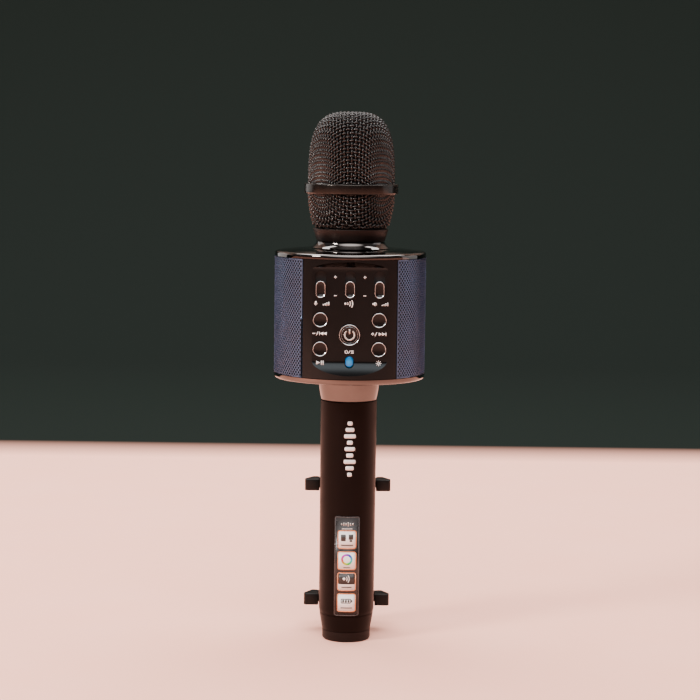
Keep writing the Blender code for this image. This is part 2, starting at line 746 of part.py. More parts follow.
def build_handle(mats):
    ring_bottom = HANDLE_TOP + GAP
    ring_top = CAN_BOTTOM - GAP
    bore = 0.0113
    middle_z = 0.1258
    middle_radius = 0.0147
    ring = [
        (bore, ring_bottom),
        (HANDLE_TOP_RADIUS, ring_bottom),
        (middle_radius, middle_z),
        (LOWER_RING_TOP_RADIUS, ring_top),
        (bore, ring_top),
    ]
    turned("lower_neck_ring", ring, mats["mirror"])

    tube_bottom = 0.1120
    flange_bottom = 0.1325
    flange_top = 0.1341
    tube_top = 0.1365
    tube = [
        (NECK_TUBE_BORE, tube_bottom),
        (NECK_TUBE_RADIUS, tube_bottom),
        (NECK_TUBE_RADIUS, flange_bottom),
        (NECK_FLANGE_RADIUS, flange_bottom),
        (NECK_FLANGE_RADIUS, flange_top),
        (NECK_TUBE_RADIUS, flange_top),
        (NECK_TUBE_RADIUS, tube_top),
        (NECK_TUBE_BORE, tube_top),
    ]
    turned("lower_neck_tube", tube, mats["inner_plastic"], SMALL_STEPS)

    low = TAIL_TOP + GAP
    tube = [
        (HANDLE_BORE, low),
        (TAIL_TOP_RADIUS, low),
        (HANDLE_BOTTOM_RADIUS, TAPER_TOP),
        (HANDLE_TOP_RADIUS, HANDLE_TOP),
        (HANDLE_BORE, HANDLE_TOP),
    ]
    turned("handle_tube", tube, mats["matte"])

    tail_bottom = FOOT_TOP + GAP
    tail_bore = 0.0090
    plug_radius = 0.0114
    plug_top = 0.0220
    tail = [
        (tail_bore, tail_bottom),
        (FOOT_RADIUS, tail_bottom),
        (TAIL_TOP_RADIUS, TAIL_TOP),
        (plug_radius, TAIL_TOP),
        (plug_radius, plug_top),
        (tail_bore, plug_top),
    ]
    turned("tail_cone", tail, mats["matte"])

    foot = [(0.0, 0.0), (FOOT_RADIUS - EDGE_ROUNDING, 0.0)]
    for step in (1, 2, 3):
        angle = math.pi / 2.0 * step / 3
        radius = FOOT_RADIUS - EDGE_ROUNDING * (1.0 - math.sin(angle))
        foot.append((radius, EDGE_ROUNDING * (1.0 - math.cos(angle))))
    plug_radius = 0.0086
    plug_top = 0.0090
    foot += [(FOOT_RADIUS, FOOT_TOP), (plug_radius, FOOT_TOP), (plug_radius, plug_top), (0.0, plug_top)]
    turned("foot_cap", foot, mats["matte"])


def build_battery(mats):
    radius = 0.0091
    low = 0.0380
    high = low + 0.0650
    nub_radius = 0.0030
    nub_top = high + 0.0012
    cell = [
        (0.0, low),
        (radius, low),
        (radius, high),
        (nub_radius, high),
        (nub_radius, nub_top),
        (0.0, nub_top),
    ]
    turned("battery", cell, mats["steel"], SMALL_STEPS)
    spring_bottom = 0.0245
    spring_top = low - 0.0010
    coil_radius = 0.0050
    wire_radius = 0.0005
    points = coil_points((0.0, 0.0, spring_bottom), (0.0, 0.0, spring_top), coil_radius, 5)
    wire("battery_spring", points, wire_radius, mats["steel"])


def build_label(mats):
    inner = HANDLE_BOTTOM_RADIUS + LABEL_CLEARANCE
    outer = inner + LABEL_THICKNESS
    half_angle = LABEL_HALF_WIDTH / outer
    args = (inner, outer, -math.pi / 2.0, half_angle, LABEL_BOTTOM, LABEL_TOP, 6, mats["gloss"])
    arc_shell("feature_label", *args)


def claw_outline(side):
    """The rubber claw from above: its block, and its hook that reaches round a phone."""
    inner = 0.0142
    front_y = 0.0170
    corner = 0.0009
    side_back_y = 0.0205
    neck_y = 0.0273
    neck = (0.0154, 0.0178)
    block = [
        (inner, front_y),
        (CLAW_TIP_X - corner, front_y),
        (CLAW_TIP_X, front_y + corner),
        (CLAW_TIP_X, side_back_y),
        (neck[1], neck_y),
        (neck[0], neck_y),
        (inner, neck_y - 0.0007),
    ]
    hook_y = 0.0369
    tip = 0.0128
    hook = [
        (neck[1], hook_y - corner),
        (neck[1] - corner, hook_y),
        (tip + corner, hook_y),
        (tip, hook_y - 0.0012),
        (neck[0], hook_y - 0.0021),
    ]
    return [(side * x, y) for x, y in block], [(side * x, y) for x, y in hook]


def claw_bmesh(side, centre_z):
    """The block is level on top, and the hook's top slopes down towards its tip."""
    block, hook = claw_outline(side)
    hook_drop = 0.0024
    neck_y = block[4][1]
    end_y = hook[1][1]
    bm = bmesh.new()
    rings = []
    for sign in (-1.0, 1.0):
        ring = []
        for x, y in block + hook:
            slope = hook_drop * max(y - neck_y, 0.0) / (end_y - neck_y) if sign > 0.0 else 0.0
            ring.append(bm.verts.new((x, y, centre_z + sign * CLAW_HALF_HEIGHT - slope)))
        rings.append(ring)
    count = len(block)
    outline = list(range(5)) + list(range(count, count + len(hook))) + [5, 6]
    for ring in rings:
        bm.faces.new([ring[index] for index in range(count)])
        bm.faces.new([ring[index] for index in (4, *range(count, count + len(hook)), 5)])
    for index, after in zip(outline, outline[1:] + outline[:1]):
        corners = (rings[0][index], rings[0][after], rings[1][after], rings[1][index])
        bm.faces.new(corners)
    return bm


def build_jaw(name, side, mats):
    """Two arms joined inside the housing by an upright tie bar. side is -1 for the left jaw."""
    front_y, back_y = ARM_LAYERS[side]
    arm_end = CLAW_TIP_X - 0.0016
    upper, lower = CLAW_HEIGHTS
    rise = ARM_HALF_HEIGHT
    near, far = TIE_BAR
    across = [
        (arm_end, lower - rise),
        (arm_end, lower + rise),
        (-near, lower + rise),
        (-near, upper - rise),
        (arm_end, upper - rise),
        (arm_end, upper + rise),
        (-far, upper + rise),
        (-far, lower - rise),
    ]
    outline = [(side * x, z) for x, z in across]
    bm = prism_bmesh(outline, front_y, back_y)
    middle = ((front_y + back_y) / 2.0, (upper + lower) / 2.0)
    finish_object(name, bm, mats["matte"], origin=(side * arm_end, *middle))

    word = "left" if side < 0 else "right"
    socket_start = 0.0130
    for height, centre_z in (("upper", upper), ("lower", lower)):
        bm = claw_bmesh(side, centre_z)
        origin = (side * CLAW_TIP_X, middle[0], centre_z)
        pad = finish_object(f"pad_{word}_{height}", bm, mats["rubber"], origin)
        xs = sorted((side * socket_start, side * (arm_end + GAP)))
        low = (xs[0], front_y - GAP, centre_z - rise - GAP)
        high = (xs[1], back_y + GAP, centre_z + rise + GAP)
        cut(pad, box_bmesh(low, high))


def build_clamp(mats):
    low = (-CLAMP_HALF_WIDTH, CLAMP_FRONT_Y, CLAMP_BOTTOM)
    high = (CLAMP_HALF_WIDTH, CLAMP_BACK_Y, CLAMP_TOP)
    housing = box("clamp_housing", low, high, mats["matte"], bevel=0.0012, segments=2, axis=2)
    saddle = HANDLE_TOP_RADIUS + GAP
    past_top = CLAMP_TOP + 0.0220
    cylinder = [(0.0, 0.0), (saddle, 0.0), (saddle, past_top), (0.0, past_top)]
    cut(housing, turned_bmesh(cylinder, ROUND_STEPS))

    upper, lower = CLAW_HEIGHTS
    past_back = CLAMP_BACK_Y + 0.0056
    wall_x = TIE_BAR[1] + GAP
    cavity_front = ARM_LAYERS[-1][0] - GAP
    low = (-wall_x, cavity_front, lower - ARM_HALF_HEIGHT - GAP)
    high = (wall_x, past_back, upper + ARM_HALF_HEIGHT + GAP)
    cut(housing, box_bmesh(low, high))
    slot_xs = 0.0100, 0.0150
    for side, (front_y, back_y) in ARM_LAYERS.items():
        for centre_z in CLAW_HEIGHTS:
            xs = sorted(side * x for x in slot_xs)
            slot_back = back_y + GAP if side < 0 else past_back
            low = (xs[0], front_y - GAP, centre_z - ARM_HALF_HEIGHT - GAP)
            high = (xs[1], slot_back, centre_z + ARM_HALF_HEIGHT + GAP)
            cut(housing, box_bmesh(low, high))

    spring_y, spring_z = 0.0176, 0.0440
    spring_half_length = 0.0098
    coil_radius = 0.0017
    wire_radius = 0.0003
    room_half_height = 0.0025
    room_front = spring_y - coil_radius - 0.0005
    low = (-wall_x, room_front, spring_z - room_half_height)
    high = (wall_x, cavity_front + 0.0013, spring_z + room_half_height)
    cut(housing, box_bmesh(low, high))
    start, end = (-spring_half_length, spring_y, spring_z), (spring_half_length, spring_y, spring_z)
    wire("clamp_spring", coil_points(start, end, coil_radius, 7), wire_radius, mats["steel"])

    margin = 0.0005
    low = (-CLAMP_HALF_WIDTH + GAP, CLAMP_BACK_Y + GAP, CLAMP_BOTTOM + margin)
    high = (CLAMP_HALF_WIDTH - GAP, COVER_BACK_Y, CLAMP_TOP - margin)
    box("clamp_cover", low, high, mats["matte"], bevel=0.0020, segments=3, axis=1)
    build_jaw("jaw_left", -1, mats)
    build_jaw("jaw_right", 1, mats)


def main():
    clear_scene()
    mats = {
        "mesh": make_material("dark wire mesh", (0.030, 0.026, 0.025), 0.35, 1.0),
        "band": make_material("satin black band", (0.030, 0.022, 0.020), 0.40, 0.6),
        "mirror": make_material("dark mirror chrome", (0.35, 0.30, 0.28), 0.06, 1.0),
        "matte": make_material("matte black plastic", (0.022, 0.018, 0.017), 0.60),
        "gloss": make_material("gloss black plastic", (0.010, 0.009, 0.009), 0.08),
        "inner_plastic": make_material("inner black plastic", (0.030, 0.030, 0.032), 0.55),
        "rubber": make_material("black rubber", (0.018, 0.017, 0.017), 0.80),
        "foam": make_material("black foam", (0.012, 0.012, 0.012), 0.95),
        "steel": make_material("plated steel", (0.55, 0.55, 0.56), 0.30, 1.0),
        "board": make_material("circuit board", (0.020, 0.120, 0.050), 0.50),
        "blue": make_material("blue lens", (0.05, 0.45, 0.95), 0.20),
    }
    build_grille(mats)
    build_capsule(mats)
    build_neck(mats)
    build_caps(mats)
    build_chassis(mats)
    build_side_grilles(mats)
    build_drivers(mats)
    build_front_panel(mats)
    build_controls(mats)
    build_back(mats)
    build_handle(mats)
    build_battery(mats)
    build_label(mats)
    build_clamp(mats)


main()
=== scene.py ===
"""Looks of a handheld karaoke microphone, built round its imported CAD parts.

Metres, in the frame of the CAD: +Z up, the control panel faces -Y and the phone clamp is at +Y.
"""

import math

import bmesh
import bpy
import numpy as np
from mathutils import Matrix, Vector


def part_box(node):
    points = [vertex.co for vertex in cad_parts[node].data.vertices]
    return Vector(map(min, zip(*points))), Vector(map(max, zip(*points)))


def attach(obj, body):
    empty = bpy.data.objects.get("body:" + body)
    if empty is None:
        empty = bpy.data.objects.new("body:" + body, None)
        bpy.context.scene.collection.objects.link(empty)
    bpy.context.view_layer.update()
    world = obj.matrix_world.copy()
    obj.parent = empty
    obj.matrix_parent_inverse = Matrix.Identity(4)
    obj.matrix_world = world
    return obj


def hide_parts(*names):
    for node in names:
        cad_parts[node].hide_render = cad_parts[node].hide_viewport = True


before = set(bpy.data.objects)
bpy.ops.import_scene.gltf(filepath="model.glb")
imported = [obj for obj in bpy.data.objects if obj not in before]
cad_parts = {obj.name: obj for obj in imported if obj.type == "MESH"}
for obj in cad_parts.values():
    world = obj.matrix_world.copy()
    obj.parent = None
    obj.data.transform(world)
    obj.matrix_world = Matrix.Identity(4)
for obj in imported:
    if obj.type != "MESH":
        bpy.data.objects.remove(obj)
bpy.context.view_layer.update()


def reach(node):
    """How far a CAD node reaches along +X."""
    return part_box(node)[1].x


def bottom(node):
    """A CAD node's lowest height."""
    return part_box(node)[0].z


def top(node):
    """A CAD node's highest height."""
    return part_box(node)[1].z


# Sizes read from the CAD
HEIGHT = top("grille_dome")
BODY_RADIUS = reach("base_cap")
CAN_BOTTOM = bottom("base_cap")
PANEL_BOTTOM = bottom("front_panel")
PANEL_TOP = top("front_panel")
PANEL_HALF_WIDTH = reach("front_panel")
CAN_TOP = top("top_cap")
HANDLE_RADIUS = reach("handle_tube")
LABEL_RADIUS = -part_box("feature_label")[0].y
RING_BOTTOM = bottom("grille_ring")
RING_TOP = top("grille_ring")
RING_RADIUS = reach("grille_ring")
DOME_RADIUS = reach("grille_dome")
COLLAR_TOP = top("collar")
COLLAR_RADIUS = reach("collar")
GAP = 0.0003
SEAM = 0.0002

# Steps round turned pieces
ROUND = 144
FOAM_ROUND = 96

# Turned pieces
COLLAR_BASE_RADIUS = 0.0167
FLARE_BORE = 0.0123
FLARE_STEPS = 18
COLLAR_BORE = 0.0150
COLLAR_EDGE = 0.0003
LOWER_RING_BORE = 0.0113
LOWER_RING_EDGE = 0.0002
LOWER_RING_STEPS = 16
LOWER_RING_SWELL = 1.25
CAP_BORE = 0.0120
CAP_RIM = 0.1911
CAP_SHOULDER = (0.0350, 0.1926)
CAP_CROWN_STEPS = 16
CAP_EDGE_STEPS = 10
CAP_EDGE_POWER = 0.8
CAP_SPIGOT = 0.0330
CAP_WALL = 0.0014
TOP_CAP_INNER_SINK = 0.003
TOP_CAP_BORE_SINK = 0.002
BASE_CAP_FLOOR = 0.0016
BASE_CAP_EDGE = 0.0012
GRIP_EDGE = 0.00012
GRIP_BORE = 0.0118
TAPER_TOP = 0.0158
TAPER_ROUNDING = 0.0060
TAPER_INSET = 0.0002
TAPER_TURN = 18.0
TAIL_PLUG = 0.0114
TAIL_BORE = 0.0090
TAIL_SWELL = 0.06
TAIL_STEPS = 8
FOOT_EDGE = 0.0012
FOOT_PLUG = 0.0086

# Ball grille and its foam
WIRE_END_CLEARANCE = 0.0004
DOME_HIDDEN = 0.0030
BASKET_BEND = 0.0010
BASKET_STEPS = 60
BAND_EDGE = 0.0005
BAND_THICKNESS = 0.00125
FOAM_BEHIND_WIRE = 0.0004
FOAM_THICKNESS = 0.0055
FOAM_OUTER_STEPS = 40
FOAM_INNER_STEPS = 30
FOAM_SIDE_STEPS = 12
FOAM_STEP_DOWN = 0.001
FOAM_RIPPLE = 0.00012
RIPPLES_ROUND = (7.0, 5.0)
RIPPLES_UP = (900.0, -700.0)

# Softened CAD shapes: points this close join, flatter joints dissolve, sharper edges are rounded
JOIN_DISTANCE = 0.000002
FLAT_ANGLE = 0.5
EDGE_ANGLE = 25.0
SOFT_SEGMENTS = 3

# How near a point lies to a cutting plane to count as on it
CUT_TOLERANCE = 1e-7

# Woven wire
WIRE_PITCH = 0.00185
WIRE_RADIUS = 0.00043
WIRE_CRIMP = 0.00043
WIRE_SIDES = 6
WIRE_STEPS = 4
CROSSING_TRIES = 40
CROSSING_NUDGES = (1e-7, 1e-5)
CROSSING_MISS = 1e-12
CROSSING_REACH = 0.7 * WIRE_PITCH
CROSSING_TURN = 0.3
EASE_STEPS = 14
EASE_SHARE = 0.5
EASE_FROM = 0.030
DOME_BASE = 0.2220
DOME_POWER = 3.4

# Perforated sheet
HOLE_RADIUS = 0.00060
HOLE_PITCH = 0.00176
HOLE_ROW = 0.00108
HOLE_SIDES = 12
SHEET_THICKNESS = 0.0004
SHEET_BORDER = 0.0004
SHEET_INSET = 0.0001
SHEET_FOLD = 0.0013
FOLD_STEPS = 49
CORNERS_PER_METRE = 1e7

# Control panel, whose front is the can's wall cut back by a scooped recess
PANEL_WALL = 0.0014
RECESS_FLOOR_Y = -0.0324
RECESS_BOTTOM = 0.1350
RECESS_FLOOR_BOTTOM = 0.1417
RECESS_FLOOR_TOP = 0.1852
RECESS_TOP = 0.1891
SLOPE_LIMIT = 0.93
LOW_SLOPE_ROWS = 25
FLOOR_ROWS = 30
HIGH_SLOPE_ROWS = 17
RECESS_COLUMNS = 62
MARGIN_COLUMNS = 10
BACK_COLUMNS = 61
BACK_ROWS = 24
FRONT_CUT = (-0.0400, -0.0280)
BACK_CUT = (0.0300, 0.0400)
SOCKET_ROOM = 0.0004
SOCKET_CORNER = 0.0006
TONGUE_CORNER = 0.0002
CONTROL_X = 0.01395
SLOT_WIDTH = 0.0052
SLOT_BOTTOM = 0.1716
SLOT_TOP = 0.1844
KNOB_WIDTH = 0.0046
KNOB_HEIGHT = 0.0080
KNOB_Z = SLOT_BOTTOM + GAP + KNOB_HEIGHT / 2.0
BUTTON_RADIUS = 0.0035
POWER_RADIUS = 0.0050
POWER_Z = 0.1543
BUTTON_FRONT = -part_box("button_upper_left")[0].y
RIM_WIDTH = 0.00036
RIM_RISE = 0.0001
BUTTON_FLANGE = 0.0008
FLANGE_REACH = 0.0005
BUTTON_DISH = 0.00022
KNOB_DISH = 0.0006
POWER_LINE_INSET = 0.0010
POWER_LINE_WIDTH = RIM_WIDTH * 0.6
CONTROL_SHOULDER = 0.0006
CONTROL_FLAT = 0.0003
DISH_STEPS = 9
RIM_ROOT = 0.0009
RIM_OUTSET = 0.00001
LENS_WIDTH = 0.0038
LENS_HEIGHT = 0.0052
LENS_Z = 0.1413
LENS_OUTLINE = ((0.0, 0.0004), (0.0002, 0.0001), (0.0005, 0.0), (0.0012, -0.0001))
INK = 0.00003
FILL_INK = 0.00004
LINE_INK = 0.00005
MARK_INK = 0.00006
TOP_INK = 0.00008

# Prints: where each row of marks is, and the parts of the marks
SIGN_LOW_Z = 0.1729
SIGN_HIGH_Z = 0.1817
SIGN_LENGTH = 0.0013
SIGN_LINE = 0.00035
NAME_Z = 0.1691
NAME_LEFT = 0.0022
NAME_RIGHT = 0.0014
SKIP_Z = 0.1548
SKIP_SIGN = 0.0030
SKIP_LINE = 0.00042
SKIP_SLASH = 0.0014
SLASH_HEIGHT = 0.0018
SKIP_ARROW = 0.0007
SKIP_STEP = 0.0016
SKIP_MIDDLE = 0.0015
SKIP_STOP = 0.0018
SKIP_STOP_LINE = 0.00036
PLAY_Z = 0.1409
PLAY_SIZE = 0.0019
PLAY_ARROW = 0.0008
PLAY_LINE = 0.00042
PAUSE_BARS = (0.0007, 0.0016)
MODE_Z = 0.1461
MODE_OFFSET = 0.0014
POWER_SIGN_RADIUS = 0.0023
POWER_SIGN_HALF = 0.00036
POWER_SIGN_TURN = (128.0, 412.0)
POWER_SIGN_STEM = 0.0024
GRIP_MARK_LOW = 0.0825
GRIP_MARK_HIGH = 0.1108
GRIP_MARK_X = 0.0008
GRIP_MARK_WIDTHS = (0.0022, 0.0040, 0.0057, 0.0034, 0.0050, 0.0028, 0.0057, 0.0042, 0.0024)
GRIP_MARK_FILL = 0.62
LABEL_DEPTH = 0.00015
LABEL_INSET = 0.0004
LABEL_LINE = 0.00025
HEADING_DROP = 0.0038
HEADING_STEP = 0.0011
HEADING_HEIGHT = 0.0016
HEADING_HEIGHTS = (0.6, 1.0, 0.75, 1.3, 0.9, 0.6)
BADGE = 0.0091
BADGE_STEP = 0.01045
BADGE_TOP = 0.0069
BADGE_LINE = 0.00040
BADGE_FILL = BADGE - 0.0009
SLICE = 0.0005
SLICED_HALF = 0.0220

# The tongues inside the sockets: width, height and how far above the socket's middle
TONGUES = {"usb_socket": (0.0106, 0.0019, 0.0010), "charge_socket": (0.0062, 0.0008, 0.0003)}
TONGUE_START = 0.0019
TONGUE_SINK = 0.0012

BUTTONS = {
    "upper_left": (-CONTROL_X, 0.1614, BUTTON_RADIUS),
    "upper_right": (CONTROL_X, 0.1614, BUTTON_RADIUS),
    "lower_left": (-CONTROL_X, 0.1475, BUTTON_RADIUS),
    "lower_right": (CONTROL_X, 0.1475, BUTTON_RADIUS),
    "power": (0.0, POWER_Z, POWER_RADIUS),
}
SLIDERS = {"left": -CONTROL_X, "centre": 0.0, "right": CONTROL_X}

# Camera and stage
CAMERA_PLACE = (0.0003, -1.0, 0.2488)
CAMERA_DOWN = 6.0
CAMERA_ROLL = 0.71
CAMERA_LENS = 105.4
CAMERA_SENSOR = 36.0
AIM = (0.0, 0.0, 0.12)
FLOOR_HALF_WIDTH = 14.0
FLOOR_BACK = 1.2
BACKDROP_BEND = 0.9
BACKDROP_TOP = 4.0
BEND_STEPS = 24
FRONT_GLOW = (0.0, -0.64, 0.77)
GLOW_EDGE = 0.78
GLOW_COLOUR = (5.2, 5.1, 5.1)
HORIZON_COLOUR = (0.02, 0.018, 0.017)
SKY_COLOUR = (0.17, 0.16, 0.16)
SKY_FROM = 0.30

# Tints of the reflections: warm in the black finishes, cool in the gloss panel
WARM = (1.0, 0.80, 0.74, 1.0)
COOL = (0.74, 0.86, 0.92, 1.0)

looks = {}


# ---------------------------------------------------------------- materials


def new_look(name, slot):
    """A material to fill in, filed under its name with the record's slot that it belongs to."""
    material = bpy.data.materials.new(name)
    material.use_nodes = True
    looks[name] = (material, slot)
    return material.node_tree, material.node_tree.nodes["Principled BSDF"]


def node(tree, kind, inputs, **settings):
    """Adds a node. An input is a plain value, or another node's output."""
    made = tree.nodes.new(kind)
    for key, value in settings.items():
        setattr(made, key, value)
    for key, value in inputs.items():
        if isinstance(value, bpy.types.NodeSocket):
            tree.links.new(value, made.inputs[key])
        else:
            made.inputs[key].default_value = value
    return made


def vector_math(tree, operation, first, second):
    """The vector that an operation makes of two others."""
    made = node(tree, "ShaderNodeVectorMath", {0: first, 1: second}, operation=operation)
    return made.outputs["Vector"]


def places(tree, stretch=(1.0, 1.0, 1.0)):
    """Points on the object in metres, stretched along each axis."""
    coordinates = node(tree, "ShaderNodeTexCoord", {})
    return vector_math(tree, "MULTIPLY", coordinates.outputs["Object"], stretch)


def noise(tree, size, detail=3.0, stretch=(1.0, 1.0, 1.0)):
    """Noise with blotches of about this size in metres."""
    inputs = {"Vector": places(tree, stretch), "Scale": 1.0 / size, "Detail": detail}
    return node(tree, "ShaderNodeTexNoise", inputs).outputs["Fac"]


def ranged(tree, value, low, high, start=0.3, end=0.7):
    """Maps a value from between start and end to between low and high."""
    inputs = {"Value": value, "From Min": start, "From Max": end, "To Min": low, "To Max": high}
    return node(tree, "ShaderNodeMapRange", inputs, clamp=True).outputs["Result"]


def mixed(tree, share, first, second):
    """Two colours mixed by a share from 0 to 1."""
    made = node(tree, "ShaderNodeMix", {"Factor": share}, data_type="RGBA")
    for socket, colour in ((made.inputs[6], first), (made.inputs[7], second)):
        if isinstance(colour, bpy.types.NodeSocket):
            tree.links.new(colour, socket)
        else:
            socket.default_value = (*colour, 1.0)
    return made.outputs[2]


def bumped(tree, shader, height, depth, strength=1.0):
    """Adds relief of this depth in metres, on top of any that the shader has."""
    inputs = {"Height": height, "Distance": depth, "Strength": strength}
    if shader.inputs["Normal"].is_linked:
        inputs["Normal"] = shader.inputs["Normal"].links[0].from_socket
    bump = node(tree, "ShaderNodeBump", inputs)
    tree.links.new(bump.outputs["Normal"], shader.inputs["Normal"])


def roughened(tree, shader, size, low, high, detail=3.0):
    """Roughness that drifts between two values over blotches of this size."""
    drift = ranged(tree, noise(tree, size, detail), low, high)
    tree.links.new(drift, shader.inputs["Roughness"])


def finish_look(
    name, slot, dark, light, roughness,
    metallic=0.0, grain=0.0002, depth=0.00001, blotch=0.012, **values,
):
    """A finish with fine grain, and with colour and roughness that drift a little over broad blotches."""
    tree, shader = new_look(name, slot)
    drift = noise(tree, blotch)
    colour = mixed(tree, ranged(tree, drift, 0.0, 1.0), dark, light)
    tree.links.new(colour, shader.inputs["Base Color"])
    roughened(tree, shader, blotch / 5.0, *roughness, 6.0)
    shader.inputs["Metallic"].default_value = metallic
    for socket, value in values.items():
        shader.inputs[socket.replace("_", " ")].default_value = value
    if depth:
        bumped(tree, shader, noise(tree, grain, 2.0), depth)
    return tree, shader


def make_metals():
    """The wire, the band, the mirror parts, the handle and the side sheets."""
    finish_look(
        "wire", "wire_mesh", (0.032, 0.030, 0.029), (0.044, 0.041, 0.040), (0.22, 0.32),
        metallic=0.9, depth=0.000004,
    )
    finish_look(
        "band", "satin_band", (0.028, 0.024, 0.021), (0.036, 0.031, 0.028), (0.16, 0.22),
        metallic=0.85, depth=0.000003,
    )
    finish_look(
        "mirror", "mirror_metal", (0.116, 0.104, 0.098), (0.134, 0.120, 0.114), (0.030, 0.070),
        metallic=1.0, depth=0.0,
    )
    finish_look(
        "trim", "plated_steel", (0.40, 0.45, 0.47), (0.48, 0.53, 0.55), (0.12, 0.20),
        metallic=1.0, depth=0.0,
    )
    finish_look(
        "steel", "plated_steel", (0.34, 0.34, 0.35), (0.40, 0.40, 0.41), (0.32, 0.42),
        metallic=1.0, depth=0.000004,
    )

    tree, shader = finish_look(
        "handle", "handle_metal", (0.0030, 0.0019, 0.0017), (0.0040, 0.0026, 0.0023), (0.34, 0.42),
        grain=0.00022, depth=0.000012, blotch=0.030, Specular_IOR_Level=0.09, Specular_Tint=WARM,
    )
    bumped(tree, shader, noise(tree, 0.0009, 2.0), 0.000010)

    tree, shader = new_look("side_sheet", "side_grille")
    # Painted reflection: the sheets' blue tint is painted lighter and bluer towards their front edges
    # beside the panel, to stand in for the reflections seen there
    across = node(tree, "ShaderNodeSeparateXYZ", {"Vector": places(tree)})
    inputs = {0: across.outputs["Y"], 1: -1.0 / BODY_RADIUS}
    turn = node(tree, "ShaderNodeMath", inputs, operation="MULTIPLY")
    painted_reflection_share = ranged(tree, turn.outputs[0], 0.0, 1.0, 0.15, 0.80)
    tint_with_painted_reflection = mixed(tree, painted_reflection_share, (0.078, 0.105, 0.205), (0.100, 0.165, 0.290))
    drift = ranged(tree, noise(tree, 0.008), 0.0, 0.25)
    tree.links.new(mixed(tree, drift, tint_with_painted_reflection, (0.09, 0.080, 0.095)), shader.inputs["Base Color"])
    roughened(tree, shader, 0.002, 0.30, 0.42, 5.0)
    shader.inputs["Metallic"].default_value = 0.85
    bumped(tree, shader, noise(tree, 0.0001, 2.0), 0.000004)


def make_plastics():
    """The dull and glossy plastics, the rubber and the two inks."""
    finish_look(
        "collar", "matte_plastic", (0.0036, 0.0026, 0.0023), (0.0048, 0.0035, 0.0032), (0.36, 0.46),
        depth=0.000012, Specular_IOR_Level=0.20, Specular_Tint=WARM,
    )
    finish_look(
        "foot", "matte_plastic", (0.0046, 0.0028, 0.0024), (0.0060, 0.0038, 0.0033), (0.46, 0.56),
        depth=0.000015, Specular_IOR_Level=0.18, Specular_Tint=WARM,
    )
    finish_look(
        "inner", "inner_plastic", (0.008, 0.008, 0.009), (0.012, 0.012, 0.013), (0.55, 0.70),
        depth=0.00001,
    )
    finish_look(
        "clamp", "clamp_plastic", (0.0050, 0.0040, 0.0038), (0.0070, 0.0058, 0.0054), (0.34, 0.46),
        grain=0.0003, depth=0.000025, Specular_IOR_Level=0.2,
    )
    finish_look(
        "rubber", "rubber", (0.0040, 0.0032, 0.0030), (0.0060, 0.0048, 0.0044), (0.32, 0.44),
        grain=0.0003, depth=0.00002, Specular_IOR_Level=0.2,
    )
    finish_look(
        "gloss", "gloss_panel", (0.0022, 0.0020, 0.0020), (0.0030, 0.0027, 0.0027), (0.09, 0.14),
        depth=0.0, Specular_IOR_Level=0.24, Specular_Tint=COOL,
    )
    finish_look(
        "control", "gloss_control", (0.0050, 0.0036, 0.0033), (0.0066, 0.0050, 0.0046), (0.14, 0.22),
        depth=0.0, Specular_IOR_Level=0.25,
    )
    finish_look(
        "ink", "printed_label", (0.76, 0.74, 0.72), (0.84, 0.82, 0.80), (0.40, 0.50),
        depth=0.000003,
    )
    finish_look(
        "symbol", "printed_label", (0.50, 0.44, 0.40), (0.58, 0.52, 0.47), (0.28, 0.38),
        metallic=0.6, depth=0.0,
    )


def make_inside():
    """Foam, the loudspeaker cones, the boards and the battery."""
    tree, shader = new_look("foam", "foam")
    cells = node(tree, "ShaderNodeTexVoronoi", {"Vector": places(tree), "Scale": 1.0 / 0.0006})
    colour = mixed(tree, cells.outputs["Distance"], (0.002, 0.002, 0.002), (0.010, 0.009, 0.009))
    tree.links.new(colour, shader.inputs["Base Color"])
    roughened(tree, shader, 0.003, 0.85, 1.0)
    bumped(tree, shader, cells.outputs["Distance"], 0.0003)

    tree, shader = new_look("cone", "rubber")
    middle = (0.0, 0.0, (PANEL_BOTTOM + PANEL_TOP) / 2.0)
    offset = vector_math(tree, "SUBTRACT", places(tree), middle)
    inputs = {"Vector": offset, "Scale": 900.0, "Distortion": 0.6, "Detail": 2.0}
    rings = node(tree, "ShaderNodeTexWave", inputs, wave_type="RINGS", rings_direction="X")
    colour = mixed(tree, rings.outputs["Fac"], (0.010, 0.010, 0.011), (0.022, 0.021, 0.021))
    tree.links.new(colour, shader.inputs["Base Color"])
    roughened(tree, shader, 0.001, 0.6, 0.8)
    bumped(tree, shader, noise(tree, 0.0003, 4.0, (1.0, 1.0, 0.3)), 0.00005)

    tree, shader = new_look("board", "circuit_board")
    inputs = {"Vector": places(tree, (1.0, 0.2, 1.0)), "Scale": 1.0 / 0.0022}
    settings = {"distance": "CHEBYCHEV", "feature": "DISTANCE_TO_EDGE"}
    tracks = node(tree, "ShaderNodeTexVoronoi", inputs, **settings)
    lines = ranged(tree, tracks.outputs["Distance"], 1.0, 0.0, 0.05, 0.12)
    colour = mixed(tree, lines, (0.010, 0.090, 0.035), (0.030, 0.180, 0.070))
    tree.links.new(colour, shader.inputs["Base Color"])
    roughened(tree, shader, 0.002, 0.30, 0.45)
    bumped(tree, shader, lines, 0.00004)

    finish_look(
        "cell", "battery_cell", (0.02, 0.14, 0.30), (0.03, 0.17, 0.36), (0.20, 0.32),
        depth=0.000005,
    )


